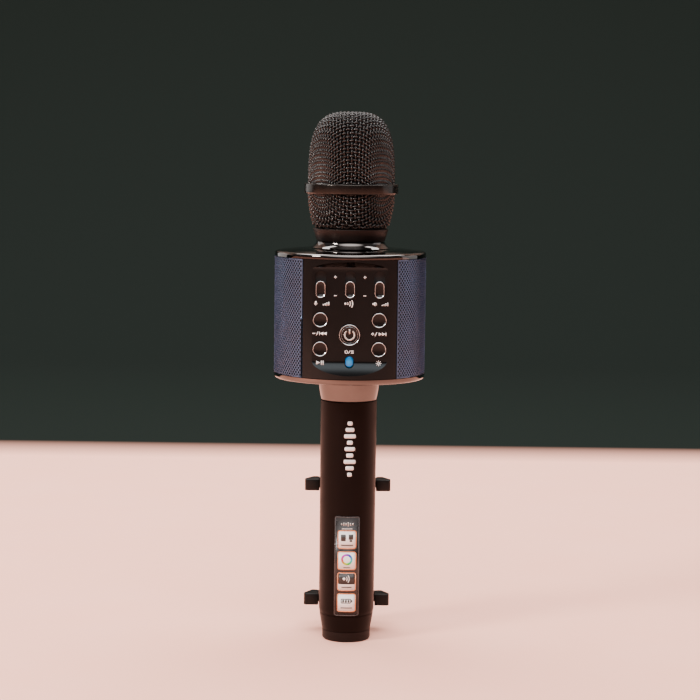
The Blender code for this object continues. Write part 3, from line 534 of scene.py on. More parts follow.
def make_lens():
    """The blue window: brightest in its middle, with a faint glow of its own."""
    tree, shader = new_look("lens", "blue_lens")
    spread = vector_math(tree, "SUBTRACT", places(tree), (0.0, 0.0, LENS_Z))
    flat = vector_math(tree, "MULTIPLY", spread, (1.0, 0.0, 0.75))
    away = node(tree, "ShaderNodeVectorMath", {0: flat}, operation="LENGTH")
    share = ranged(tree, away.outputs["Value"], 0.0, 1.0, 0.0004, 0.0021)
    glow = mixed(tree, share, (0.004, 0.17, 0.38), (0.0, 0.06, 0.18))
    tree.links.new(glow, shader.inputs["Base Color"])
    tree.links.new(glow, shader.inputs["Emission Color"])
    shader.inputs["Emission Strength"].default_value = 0.6
    roughened(tree, shader, 0.001, 0.12, 0.20)


def make_label_looks():
    """The sticker's ground, lines and badges, and its colour wheel."""
    finish_look(
        "label", "printed_label", (0.013, 0.0095, 0.0090), (0.017, 0.0125, 0.0118), (0.24, 0.34),
        depth=0.000002,
    )
    finish_look(
        "label_edge", "printed_label", (0.070, 0.062, 0.062), (0.090, 0.080, 0.080), (0.24, 0.34),
        depth=0.0,
    )
    finish_look(
        "white", "printed_label", (0.78, 0.75, 0.72), (0.84, 0.81, 0.78), (0.25, 0.35),
        depth=0.0,
    )
    finish_look(
        "orange", "printed_label", (0.75, 0.22, 0.07), (0.85, 0.28, 0.10), (0.25, 0.35),
        depth=0.0,
    )
    finish_look(
        "dark_print", "printed_label", (0.020, 0.017, 0.016), (0.030, 0.026, 0.025), (0.3, 0.4),
        depth=0.0,
    )

    tree, shader = new_look("colour_wheel", "printed_label")
    middle = (0.0, 0.0, badge_heights()[1])
    spread = vector_math(tree, "SUBTRACT", places(tree), middle)
    parts = node(tree, "ShaderNodeSeparateXYZ", {"Vector": spread})
    inputs = {0: parts.outputs["Z"], 1: parts.outputs["X"]}
    angle = node(tree, "ShaderNodeMath", inputs, operation="ARCTAN2")
    hue = ranged(tree, angle.outputs[0], 0.0, 1.0, -math.pi, math.pi)
    inputs = {"Red": hue, "Green": 1.0, "Blue": 0.50}
    colour = node(tree, "ShaderNodeCombineColor", inputs, mode="HSV")
    tree.links.new(colour.outputs[0], shader.inputs["Base Color"])
    roughened(tree, shader, 0.002, 0.28, 0.36)


# ---------------------------------------------------------------- mesh helpers


def add_object(name, data):
    """An object in the scene that shows a mesh, a light or a camera."""
    obj = bpy.data.objects.new(name, data)
    bpy.context.scene.collection.objects.link(obj)
    return obj


def piece(name, bm, look, replaces=(), body="microphone", sharp=30.0):
    """Makes a piece of the object from a bmesh, riding on a body and standing for some CAD nodes."""
    mesh = bpy.data.meshes.new(name)
    bm.to_mesh(mesh)
    bm.free()
    return mesh_piece(name, mesh, look, replaces, body, sharp)


def mesh_piece(name, mesh, look, replaces=(), body="microphone", sharp=30.0):
    """Makes a piece of the object from a mesh, as piece does from a bmesh."""
    mesh.shade_smooth()
    mesh.set_sharp_from_angle(angle=math.radians(sharp))
    material, slot = looks[look]
    mesh.materials.append(material)
    obj = add_object(name, mesh)
    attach(obj, body)
    if replaces:
        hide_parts(*replaces)
    return obj


def turned(profile, steps=ROUND):
    """Turns a closed outline of (radius, height) points about Z."""
    bm = bmesh.new()
    rings = []
    for radius, height in profile:
        if radius == 0.0:
            rings.append([bm.verts.new((0.0, 0.0, height))] * steps)
            continue
        turns = [2.0 * math.pi * step / steps for step in range(steps)]
        rings.append([bm.verts.new((radius * math.cos(a), radius * math.sin(a), height)) for a in turns])
    for first, second in zip(rings, rings[1:] + rings[:1]):
        for step in range(steps):
            after = (step + 1) % steps
            corners = []
            for corner in (first[step], first[after], second[after], second[step]):
                if corner not in corners:
                    corners.append(corner)
            if len(corners) > 2:
                bm.faces.new(corners)
    bmesh.ops.recalc_face_normals(bm, faces=bm.faces)
    return bm


def rounding(corner, radius, start, end, steps=6):
    """Points along an arc about a centre, from one angle to another in degrees."""
    turns = [math.radians(start + (end - start) * step / steps) for step in range(steps + 1)]
    return [(corner[0] + radius * math.cos(a), corner[1] + radius * math.sin(a)) for a in turns]


def stadium(width, height, x, z, inset=0.0, half_steps=24):
    """The outline of an upright slot with round ends, or of a circle."""
    radius = width / 2.0 - inset
    rise = (height - width) / 2.0
    points = []
    for sign in (1.0, -1.0):
        for step in range(half_steps):
            angle = math.pi * (step + 0.5) / half_steps
            up = rise + radius * math.sin(angle)
            points.append((x + sign * radius * math.cos(angle), z + sign * up))
    return points


def lofted(width, height, x, z, profile, close):
    """Rings of one slot outline at each (inset, y), joined up.

    close fills the first and last rings, and otherwise the last joins the first.
    """
    bm = bmesh.new()
    rings = []
    for inset, y in profile:
        rings.append([bm.verts.new((px, y, pz)) for px, pz in stadium(width, height, x, z, inset)])
    count = len(rings[0])
    pairs = list(zip(rings, rings[1:]))
    if close:
        for end in (rings[0], rings[-1]):
            bm.faces.new(end)
    else:
        pairs.append((rings[-1], rings[0]))
    for first, second in pairs:
        for index in range(count):
            after = (index + 1) % count
            bm.faces.new((first[index], first[after], second[after], second[index]))
    bmesh.ops.recalc_face_normals(bm, faces=bm.faces)
    return bm


def cut(obj, outlines, front_y, back_y):
    """Takes prisms of these (x, z) outlines away from a piece, and keeps the result as its mesh."""
    bm = bmesh.new()
    for outline in outlines:
        add_prism(bm, outline, front_y, back_y)
    bmesh.ops.recalc_face_normals(bm, faces=bm.faces)
    mesh = bpy.data.meshes.new("cutter")
    bm.to_mesh(mesh)
    bm.free()
    cutter = add_object("cutter", mesh)
    modifier = obj.modifiers.new("cut", "BOOLEAN")
    modifier.operation = "DIFFERENCE"
    modifier.solver = "EXACT"
    modifier.object = cutter
    evaluated = obj.evaluated_get(bpy.context.evaluated_depsgraph_get())
    result = bpy.data.meshes.new_from_object(evaluated)
    obj.modifiers.clear()
    obj.data = result
    bpy.data.objects.remove(cutter)


def softened(node_name, look, width, body="microphone"):
    """A copy of a CAD node with its flat faces joined up and its edges rounded."""
    bm = bmesh.new()
    bm.from_mesh(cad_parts[node_name].data)
    bmesh.ops.remove_doubles(bm, verts=bm.verts, dist=JOIN_DISTANCE)
    flat = math.radians(FLAT_ANGLE)
    bmesh.ops.dissolve_limit(bm, angle_limit=flat, verts=bm.verts, edges=bm.edges)
    sharp = math.radians(EDGE_ANGLE)
    edges = [e for e in bm.edges if len(e.link_faces) == 2 and e.calc_face_angle() > sharp]
    shape = {"segments": SOFT_SEGMENTS, "profile": 0.5, "affect": "EDGES", "clamp_overlap": True}
    bmesh.ops.bevel(bm, geom=edges, offset=width, **shape)
    return piece(f"{node_name}_shape", bm, look, (node_name,), body, 40.0)


# ---------------------------------------------------------------- woven wire


def superellipse(radius, height, steps=600):
    """(radius, height) pairs of the ball grille's outline, from its top down to its base."""
    pairs = []
    for step in range(steps + 1):
        angle = math.pi / 2.0 * step / steps
        across = radius * math.sin(angle) ** (2.0 / DOME_POWER)
        up = height * math.cos(angle) ** (2.0 / DOME_POWER)
        pairs.append((across, up))
    return pairs


def basket_radius(z):
    """The radius of the lower basket's outline at a height."""
    share = min(max((z - COLLAR_TOP) / (RING_BOTTOM - COLLAR_TOP), 0.0), 1.0)
    return COLLAR_RADIUS + (DOME_RADIUS - COLLAR_RADIUS) * math.sin(math.pi / 2.0 * share)


def along(pairs):
    """A profile as arrays: distance from the pole, radius and height."""
    radius, height = np.array(pairs).T
    steps = np.hypot(np.diff(radius), np.diff(height))
    return np.concatenate([[0.0], np.cumsum(steps)]), radius, height


def on_surface(profile, distance, turn):
    """The point of a turned surface at a distance from its pole and a turn from +Y."""
    radius = np.interp(distance, profile[0], profile[1])
    height = np.interp(distance, profile[0], profile[2])
    return np.array([radius * math.sin(turn), radius * math.cos(turn), height])


def crossing(profile, first, second):
    """The place on a turned surface that is one wire pitch beyond two others, as (distance, turn)."""
    ends = np.array([on_surface(profile, *first), on_surface(profile, *second)])
    place = (np.array(first) + np.array(second)) / 2.0 + (CROSSING_REACH, 0.0)
    for _ in range(CROSSING_TRIES):
        here = on_surface(profile, *place)
        miss = ((here - ends) ** 2).sum(axis=1) - WIRE_PITCH**2
        if abs(miss).max() < CROSSING_MISS:
            return tuple(place)
        slopes = np.empty((2, 2))
        for axis, nudge in enumerate(CROSSING_NUDGES):
            moved = place.copy()
            moved[axis] += nudge
            off = ((on_surface(profile, *moved) - ends) ** 2).sum(axis=1) - WIRE_PITCH**2
            slopes[:, axis] = (off - miss) / nudge
        step = np.linalg.lstsq(slopes, -miss, rcond=None)[0]
        step /= max(abs(step[0]) / CROSSING_REACH, abs(step[1]) / CROSSING_TURN, 1.0)
        place = place + step
    return None


def net_quarter(profile):
    """Where the wires cross, over a quarter of the surface.

    Square wire cloth keeps one pitch along every wire as it is formed, so each crossing follows
    from the two before it.
    """
    length = profile[0][-1]
    count = int(length / WIRE_PITCH)
    found = {}
    for step in range(count + 1):
        found[step, 0] = (step * WIRE_PITCH, 0.0)
        found[0, step] = (step * WIRE_PITCH, math.pi / 2.0)
    for total in range(2, 2 * count + 1):
        for row in range(max(1, total - count), min(count, total - 1) + 1):
            before = found.get((row - 1, total - row)), found.get((row, total - row - 1))
            if None in before:
                continue
            place = crossing(profile, *before)
            if place and place[0] < length and 0.0 < place[1] < math.pi / 2.0:
                found[row, total - row] = place
    return found


def eased(quarter):
    """The cloth gives a little where it shears most, so its crossings spread out there."""
    turns = {key: turn for key, (_, turn) in quarter.items()}
    for _ in range(EASE_STEPS):
        before = dict(turns)
        for (row, column), (distance, _) in quarter.items():
            sides = before.get((row + 1, column - 1)), before.get((row - 1, column + 1))
            if None in sides:
                continue
            share = EASE_SHARE * min(distance / EASE_FROM, 1.0) ** 2
            turns[row, column] = (1.0 - share) * before[row, column] + share * sum(sides) / 2.0
    return {key: (distance, turns[key]) for key, (distance, _) in quarter.items()}


def surface_frame(profile, distance, turn):
    """A point on the surface and its outward direction there."""
    point = on_surface(profile, distance, turn)
    nudge = 0.0004
    behind = on_surface(profile, max(distance - nudge, 0.0), turn)
    up = on_surface(profile, distance + nudge, turn) - behind
    across = np.array([math.cos(turn), -math.sin(turn), 0.0])
    outward = np.cross(up, across)
    return point, outward / np.linalg.norm(outward)


def wires(profile, kept, outward_sign):
    """Runs of (points, directions) along every wire, bent over and under the ones it crosses."""
    quarter = eased(net_quarter(profile))
    crossings = {}
    for (row, column), place in quarter.items():
        point, outward = surface_frame(profile, *place)
        if not kept(point):
            continue
        for sign_row in {1, -1} if row else {1}:
            for sign_column in {1, -1} if column else {1}:
                mirror = np.array([sign_column, sign_row, 1.0])
                key = (row * sign_row, column * sign_column)
                crossings[key] = (point * mirror, outward * mirror * outward_sign)
    most = max(max(abs(row), abs(column)) for row, column in crossings)
    runs = []
    for along_rows in (True, False):
        side = 1.0 if along_rows else -1.0
        for fixed in range(-most, most + 1):
            run = []
            for step in range(-most, most + 2):
                key = (step, fixed) if along_rows else (fixed, step)
                if key in crossings:
                    point, outward = crossings[key]
                    over = side * (1.0 if (step + fixed) % 2 else -1.0)
                    run.append((point + over * WIRE_CRIMP * outward, outward))
                    continue
                if len(run) > 2:
                    runs.append(run)
                run = []
    return runs


def smoothed(points):
    """Catmull-Rom points through a run."""
    padded = np.vstack([2.0 * points[0] - points[1], points, 2.0 * points[-1] - points[-2]])
    a, b, c, d = padded[:-3], padded[1:-2], padded[2:-1], padded[3:]
    steps = []
    for step in range(WIRE_STEPS):
        t = step / WIRE_STEPS
        curve = 2.0 * b + (c - a) * t
        curve = curve + (2.0 * a - 5.0 * b + 4.0 * c - d) * t**2
        curve = curve + (3.0 * (b - c) + d - a) * t**3
        steps.append(curve / 2.0)
    return np.vstack([np.stack(steps, axis=1).reshape(-1, 3), points[-1]])


def wire_mesh(name, runs):
    """Round wire along every run, as one mesh."""
    verts, faces = [], []
    turns = np.arange(WIRE_SIDES) * 2.0 * math.pi / WIRE_SIDES
    start = 0
    for run in runs:
        centre = smoothed(np.array([point for point, _ in run]))
        up = smoothed(np.array([outward for _, outward in run]))
        forward = np.gradient(centre, axis=0)
        forward /= np.linalg.norm(forward, axis=1)[:, None]
        up -= (up * forward).sum(axis=1)[:, None] * forward
        up /= np.linalg.norm(up, axis=1)[:, None]
        side = np.cross(forward, up)
        upward = np.cos(turns)[None, :, None] * up[:, None]
        sideward = np.sin(turns)[None, :, None] * side[:, None]
        verts.append((centre[:, None] + WIRE_RADIUS * (upward + sideward)).reshape(-1, 3))
        places_round = np.arange(WIRE_SIDES)
        near = start + np.arange(len(centre) - 1)[:, None] * WIRE_SIDES + places_round[None, :]
        after = near + (np.roll(places_round, -1) - places_round)[None, :]
        quads = np.stack([near, near + WIRE_SIDES, after + WIRE_SIDES, after], axis=-1)
        faces.append(quads.reshape(-1, 4))
        start += len(centre) * WIRE_SIDES
    mesh = bpy.data.meshes.new(name)
    mesh.from_pydata(np.vstack(verts).tolist(), [], np.vstack(faces).tolist())
    return mesh


def build_grille():
    """The two wire baskets, the band between them and the foam inside."""
    inset = WIRE_RADIUS + WIRE_CRIMP
    radius = DOME_RADIUS - inset
    outline = [(r, DOME_BASE + h) for r, h in superellipse(radius, HEIGHT - inset - DOME_BASE)]
    dome = along(outline + [(radius, DOME_BASE - DOME_HIDDEN)])

    def in_dome(point):
        return point[2] > DOME_BASE + WIRE_END_CLEARANCE

    mesh = wire_mesh("grille_dome_wire", wires(dome, in_dome, -1.0))
    mesh_piece("grille_dome_wire", mesh, "wire", ("grille_dome",), sharp=180.0)

    floor_z = bottom("grille_basket") + inset
    bend = BASKET_BEND
    wall = basket_radius(floor_z + bend) - inset
    outline = [(0.0, floor_z)] + rounding((wall - bend, floor_z + bend), bend, -90.0, 0.0)
    heights = np.linspace(floor_z + bend, RING_BOTTOM, BASKET_STEPS)[1:]
    outline += [(basket_radius(z) - inset, z) for z in heights]
    outline += [(DOME_RADIUS - inset, RING_TOP)]
    basket = along(outline)
    inner = wall - 2.5 * bend
    highest = top("grille_basket") - WIRE_END_CLEARANCE

    def in_basket(point):
        return math.hypot(point[0], point[1]) > inner and point[2] < highest

    mesh = wire_mesh("grille_basket_wire", wires(basket, in_basket, 1.0))
    mesh_piece("grille_basket_wire", mesh, "wire", ("grille_basket",), sharp=180.0)

    bore = RING_RADIUS - BAND_THICKNESS
    crest = RING_RADIUS - BAND_EDGE
    band = [(bore, RING_BOTTOM)]
    band += rounding((crest, RING_BOTTOM + BAND_EDGE), BAND_EDGE, -90.0, 0.0)
    band += rounding((crest, RING_TOP - BAND_EDGE), BAND_EDGE, 0.0, 90.0)
    band += [(bore, RING_TOP)]
    piece("grille_band", turned(band), "band", ("grille_ring",))
    build_foam()


def build_foam():
    """The windscreen liner behind the wire, a soft shell with a slightly uneven face."""
    radius = reach("foam_windscreen") - FOAM_BEHIND_WIRE
    highest = top("foam_windscreen") - FOAM_BEHIND_WIRE
    low = bottom("foam_windscreen")
    inside = radius - FOAM_THICKNESS
    rise = highest - DOME_BASE
    outer = [(r, DOME_BASE + h) for r, h in superellipse(radius, rise, FOAM_OUTER_STEPS)]
    rise = highest - FOAM_THICKNESS - DOME_BASE
    inner = [(r, DOME_BASE + h) for r, h in superellipse(inside, rise, FOAM_INNER_STEPS)]
    shrink = DOME_RADIUS - radius
    heights = np.linspace(DOME_BASE - FOAM_STEP_DOWN, low, FOAM_SIDE_STEPS)
    sides = [(basket_radius(z) - shrink, z) for z in heights]
    bm = turned(outer + sides + [(inside, low)] + inner[::-1], FOAM_ROUND)
    for vert in bm.verts:
        around = math.atan2(vert.co.y, vert.co.x)
        wave = 1.0
        for per_turn, per_metre in zip(RIPPLES_ROUND, RIPPLES_UP):
            wave *= math.sin(per_turn * around + per_metre * vert.co.z)
        vert.co.xy *= 1.0 - FOAM_RIPPLE * (1.0 + wave) / radius
    foam = piece("windscreen_foam", bm, "foam", ("foam_windscreen",))


# ---------------------------------------------------------------- turned metal


def build_neck():
    """The flared ring and the collar over the can, and the ring under it."""
    low = bottom("upper_neck_ring")
    high = top("upper_neck_ring")
    low_radius = reach("upper_neck_ring")
    flare = [(FLARE_BORE, high), (FLARE_BORE, low)]
    for step in range(FLARE_STEPS + 1):
        share = step / FLARE_STEPS
        narrowing = 1.0 - math.sin(math.pi / 2.0 * share)
        radius = COLLAR_BASE_RADIUS + (low_radius - COLLAR_BASE_RADIUS) * narrowing
        flare.append((radius, low + (high - low) * share))
    piece("neck_flare", turned(flare), "mirror", ("upper_neck_ring",))

    low = bottom("collar")
    edge = COLLAR_EDGE
    collar = [(COLLAR_BORE, low), (COLLAR_BASE_RADIUS - edge, low), (COLLAR_BASE_RADIUS, low + edge)]
    collar += rounding((COLLAR_RADIUS - edge, COLLAR_TOP - edge), edge, 0.0, 90.0)
    collar += [(COLLAR_BORE, COLLAR_TOP)]
    piece("neck_collar", turned(collar), "collar", ("collar",))

    low = bottom("lower_neck_ring")
    high = top("lower_neck_ring")
    top_radius = reach("lower_neck_ring")
    edge = LOWER_RING_EDGE
    ring_points = [(LOWER_RING_BORE, high), (LOWER_RING_BORE, low), (HANDLE_RADIUS - edge, low)]
    for step in range(LOWER_RING_STEPS + 1):
        share = step / LOWER_RING_STEPS
        swell = math.sin(math.pi / 2.0 * share) ** LOWER_RING_SWELL
        z = low + edge + (high - low - edge) * share
        ring_points.append((HANDLE_RADIUS + (top_radius - HANDLE_RADIUS) * swell, z))
    piece("neck_ring_low", turned(ring_points), "mirror", ("lower_neck_ring",))


def build_caps():
    """The two mirror caps that close the can."""
    shoulder_radius, shoulder_z = CAP_SHOULDER
    crown = reach("upper_neck_ring")
    cap = [(CAP_BORE, CAN_TOP), (crown, CAN_TOP)]
    for step in range(1, CAP_CROWN_STEPS + 1):
        share = step / CAP_CROWN_STEPS
        radius = crown + (shoulder_radius - crown) * share
        cap.append((radius, CAN_TOP - (CAN_TOP - shoulder_z) * share**2))
    for step in range(1, CAP_EDGE_STEPS + 1):
        angle = math.pi / 2.0 * step / CAP_EDGE_STEPS
        across = (BODY_RADIUS - shoulder_radius) * math.sin(angle)
        rise = (shoulder_z - CAP_RIM) * math.cos(angle) ** CAP_EDGE_POWER
        cap.append((shoulder_radius + across, CAP_RIM + rise))
    inside = CAP_SPIGOT - CAP_WALL
    low = bottom("top_cap")
    rim = PANEL_TOP + GAP
    cap += [(BODY_RADIUS, rim), (CAP_SPIGOT, rim), (CAP_SPIGOT, low), (inside, low)]
    cap += [(inside, CAN_TOP - TOP_CAP_INNER_SINK), (CAP_BORE, CAN_TOP - TOP_CAP_BORE_SINK)]
    piece("cap_top", turned(cap), "mirror", ("top_cap",))

    edge = BASE_CAP_EDGE
    high = top("base_cap")
    rim = PANEL_BOTTOM - GAP
    base = [(CAP_BORE, CAN_BOTTOM)]
    base += rounding((BODY_RADIUS - edge, CAN_BOTTOM + edge), edge, -90.0, 0.0, 10)
    base += [(BODY_RADIUS, rim), (CAP_SPIGOT, rim), (CAP_SPIGOT, high), (inside, high)]
    base += [(inside, CAN_BOTTOM + BASE_CAP_FLOOR), (CAP_BORE, CAN_BOTTOM + BASE_CAP_FLOOR)]
    piece("cap_base", turned(base), "mirror", ("base_cap",))


def build_handle():
    """The grip, the tail ring below it and the foot."""
    edge = GRIP_EDGE
    low = bottom("handle_tube") - SEAM
    high = top("handle_tube")
    foot_radius = reach("foot_cap")
    tail_radius = reach("tail_cone")
    tube = [(GRIP_BORE, low), (tail_radius - edge, low), (tail_radius, low + edge)]
    centre = (HANDLE_RADIUS - TAPER_INSET - TAPER_ROUNDING, TAPER_TOP)
    tube += rounding(centre, TAPER_ROUNDING, -TAPER_TURN, 0.0)
    tube += [(HANDLE_RADIUS, high - edge), (HANDLE_RADIUS - edge, high), (GRIP_BORE, high)]
    piece("grip_tube", turned(tube), "handle", ("handle_tube",))

    tail_top = bottom("handle_tube") - GAP
    tail_low = bottom("tail_cone")
    plug_top = top("tail_cone")
    tail = [(TAIL_BORE, tail_low), (foot_radius - edge, tail_low), (foot_radius, tail_low + edge)]
    for step in range(1, TAIL_STEPS + 1):
        share = step / TAIL_STEPS
        swell = share + TAIL_SWELL * math.sin(math.pi * share)
        z = tail_low + edge + (tail_top - edge - tail_low) * share
        tail.append((foot_radius + (tail_radius - foot_radius) * min(swell, 1.0), z))
    tail += [(TAIL_PLUG, tail_top), (TAIL_PLUG, plug_top), (TAIL_BORE, plug_top)]
    piece("grip_tail", turned(tail), "handle", ("tail_cone",))

    foot_top = tail_low - GAP + SEAM
    plug_top = top("foot_cap")
    foot = [(0.0, 0.0)] + rounding((foot_radius - FOOT_EDGE, FOOT_EDGE), FOOT_EDGE, -90.0, 0.0)
    foot += [(foot_radius, foot_top), (FOOT_PLUG, foot_top), (FOOT_PLUG, plug_top), (0.0, plug_top)]
    piece("grip_foot", turned(foot), "foot", ("foot_cap",))


# ---------------------------------------------------------------- loudspeaker sides


def build_sides():
    """Perforated sheets: one cell round a hole, repeated, then trimmed and bent round the can."""
    panel_angle = math.asin(PANEL_HALF_WIDTH / BODY_RADIUS)
    half_width = (math.pi / 2.0 - panel_angle) * BODY_RADIUS - 2.0 * GAP
    half_height = (PANEL_TOP - PANEL_BOTTOM) / 2.0
    for name, middle in (("left", math.pi), ("right", 0.0)):
        bm = bmesh.new()
        corners = {}
        rows = math.ceil(half_height / HOLE_ROW)
        columns = math.ceil(half_width / HOLE_PITCH)
        for row in range(-rows, rows + 1):
            for column in range(-columns, columns + 1):
                add_hole(bm, corners, (column + row % 2 / 2.0) * HOLE_PITCH, row * HOLE_ROW)
        trim_sheet(bm, half_width - SHEET_BORDER, half_height - SHEET_BORDER)
        bend_sheet(bm, middle)
        piece(f"side_mesh_{name}", bm, "side_sheet", (f"speaker_grille_{name}",), sharp=45.0)
        build_side_frame(name, middle, half_width, half_height)


def add_hole(bm, corners, u, z):
    """One cell of the flat sheet: its face round the hole, and the hole's wall.

    Cells share their corners.
    """
    half = HOLE_PITCH / 2.0
    starts = ((half, 0.0), (0.0, HOLE_ROW), (-half, 0.0), (0.0, -HOLE_ROW))
    rim, sill, edge = [], [], []
    for step in range(HOLE_SIDES):
        angle = 2.0 * math.pi * step / HOLE_SIDES
        place = (u + HOLE_RADIUS * math.cos(angle), z + HOLE_RADIUS * math.sin(angle))
        rim.append(bm.verts.new((place[0], 0.0, place[1])))
        sill.append(bm.verts.new((place[0], -SHEET_THICKNESS, place[1])))
        quarter, part = divmod(step, HOLE_SIDES // 4)
        share = part / (HOLE_SIDES // 4)
        start, end = starts[quarter], starts[(quarter + 1) % 4]
        corner_u = u + start[0] + (end[0] - start[0]) * share
        corner_z = z + start[1] + (end[1] - start[1]) * share
        key = (round(corner_u * CORNERS_PER_METRE), round(corner_z * CORNERS_PER_METRE))
        if key not in corners:
            corners[key] = bm.verts.new((corner_u, 0.0, corner_z))
        edge.append(corners[key])
    for step in range(HOLE_SIDES):
        after = (step + 1) % HOLE_SIDES
        bm.faces.new((edge[step], edge[after], rim[after], rim[step]))
        bm.faces.new((rim[step], rim[after], sill[after], sill[step]))


def trim_sheet(bm, half_width, half_height):
    """Cuts the flat sheet off at its four edges."""
    for direction, distance in (((1, 0, 0), half_width), ((0, 0, 1), half_height)):
        for sign in (1.0, -1.0):
            outward = sign * Vector(direction)
            geometry = bm.verts[:] + bm.edges[:] + bm.faces[:]
            plane = {"plane_co": outward * distance, "plane_no": outward, "clear_outer": True}
            bmesh.ops.bisect_plane(bm, geom=geometry, dist=CUT_TOLERANCE, **plane)


def bend_sheet(bm, middle):
    """Bends a flat sheet in X and Z round the can. Its Y is how far a point stands out from it."""
    middle_z = (PANEL_BOTTOM + PANEL_TOP) / 2.0
    for vert in bm.verts:
        angle = middle + vert.co.x / BODY_RADIUS
        radius = BODY_RADIUS - SHEET_INSET + vert.co.y
        vert.co = (radius * math.cos(angle), radius * math.sin(angle), middle_z + vert.co.z)


def build_side_frame(name, middle, half_width, half_height):
    """The plain margin of the sheet, folded inwards along its edges."""
    across = np.linspace(-half_width + SHEET_BORDER, half_width - SHEET_BORDER, FOLD_STEPS)
    us = [-half_width, *across, half_width]
    zs = [-half_height, -half_height + SHEET_BORDER, half_height - SHEET_BORDER, half_height]
    bm = bmesh.new()
    sheets = []
    for depth in (SHEET_INSET, -SHEET_FOLD):
        sheets.append([[bm.verts.new((u, depth, z)) for u in us] for z in zs])
    last = len(us) - 2
    for row in range(len(zs) - 1):
        for column in range(last + 1):
            if row == 1 and 0 < column < last:
                continue
            for sheet in sheets:
                near, far = sheet[row], sheet[row + 1]
                bm.faces.new((near[column], near[column + 1], far[column + 1], far[column]))
    loose = [e for e in bm.edges if len(e.link_faces) == 1]
    bmesh.ops.bridge_loops(bm, edges=loose)
    bend_sheet(bm, middle)
    bmesh.ops.recalc_face_normals(bm, faces=bm.faces)
    piece(f"side_edge_{name}", bm, "side_sheet")


# ---------------------------------------------------------------- panels


def panel_y(x, z):
    """The control panel's front at a place."""
    wall = -math.sqrt(BODY_RADIUS**2 - x**2)
    if z <= RECESS_BOTTOM or z >= RECESS_TOP:
        return wall
    lower = min((z - RECESS_BOTTOM) / (RECESS_FLOOR_BOTTOM - RECESS_BOTTOM), 1.0)
    upper = min((RECESS_TOP - z) / (RECESS_TOP - RECESS_FLOOR_TOP), 1.0)
    depth = RECESS_FLOOR_Y + BODY_RADIUS
    return max(wall, -BODY_RADIUS + depth * math.sin(math.pi / 2.0 * min(lower, upper)))


def recess_start(x):
    """How far into the recess's sloping ends the panel's front turns in, as a share of the slope."""
    sink = BODY_RADIUS - math.sqrt(BODY_RADIUS**2 - x**2)
    deepest = BODY_RADIUS + RECESS_FLOOR_Y
    return min(math.asin(min(sink / deepest, 1.0)) * 2.0 / math.pi, SLOPE_LIMIT)


def panel_rows(x):
    """The heights of the front panel's points at an x, with one on each edge of the recess."""
    start = recess_start(x)
    low = RECESS_BOTTOM + start * (RECESS_FLOOR_BOTTOM - RECESS_BOTTOM)
    high = RECESS_TOP - start * (RECESS_TOP - RECESS_FLOOR_TOP)
    rows = [PANEL_BOTTOM, (PANEL_BOTTOM + low) / 2.0]
    rows += list(np.linspace(low, RECESS_FLOOR_BOTTOM, LOW_SLOPE_ROWS))
    rows += list(np.linspace(RECESS_FLOOR_BOTTOM, RECESS_FLOOR_TOP, FLOOR_ROWS)[1:])
    rows += list(np.linspace(RECESS_FLOOR_TOP, high, HIGH_SLOPE_ROWS)[1:])
    return rows + [PANEL_TOP]


def shell_panel(columns, rows_at, face_y, inward):
    """A closed panel: a front grid, the same grid further in, and its edges.

    rows_at gives the heights at an x, face_y the y at an (x, z), and inward is 1 or -1 along Y.
    """
    bm = bmesh.new()
    sheets = []
    for depth in (0.0, PANEL_WALL):
        narrower = 1.0 - depth / BODY_RADIUS
        sheet = []
        for x in columns:
            points = [(x * narrower, face_y(x, z) + inward * depth, z) for z in rows_at(x)]
            sheet.append([bm.verts.new(point) for point in points])
        sheets.append(sheet)
    for sheet in sheets:
        for left, right in zip(sheet, sheet[1:]):
            for row in range(len(left) - 1):
                bm.faces.new((left[row], right[row], right[row + 1], left[row + 1]))
    loose = [e for e in bm.edges if len(e.link_faces) == 1]
    bmesh.ops.bridge_loops(bm, edges=loose)
    bmesh.ops.recalc_face_normals(bm, faces=bm.faces)
    return bm


def add_prism(bm, outline, front_y, back_y):
    """Adds a closed prism of an (x, z) outline between two planes."""
    ends = [[bm.verts.new((x, y, z)) for x, z in outline] for y in (front_y, back_y)]
    for end in ends:
        bm.faces.new(end)
    count = len(outline)
    for index in range(count):
        after = (index + 1) % count
        bm.faces.new((ends[0][index], ends[0][after], ends[1][after], ends[1][index]))


def build_front_panel():
    """The gloss panel with its recess, and its slots and holes cut through."""
    edge_x = math.sqrt(BODY_RADIUS**2 - RECESS_FLOOR_Y**2)
    inside = np.linspace(-edge_x, edge_x, RECESS_COLUMNS)
    outside = np.linspace(edge_x, PANEL_HALF_WIDTH, MARGIN_COLUMNS)[1:]
    columns = [*(-outside[::-1]), *inside, *outside]
    bm = shell_panel(columns, panel_rows, panel_y, 1.0)
    panel = piece("control_panel", bm, "gloss", ("front_panel",), sharp=24.0)
    slot_z = (SLOT_TOP + SLOT_BOTTOM) / 2.0
    outlines = [stadium(SLOT_WIDTH, SLOT_TOP - SLOT_BOTTOM, x, slot_z) for x in SLIDERS.values()]
    for x, z, radius in BUTTONS.values():
        outlines.append(stadium(2.0 * (radius + GAP), 2.0 * (radius + GAP), x, z))
    outlines.append(stadium(LENS_WIDTH + 2.0 * GAP, LENS_HEIGHT + 2.0 * GAP, 0.0, LENS_Z))
    cut(panel, outlines, *FRONT_CUT)


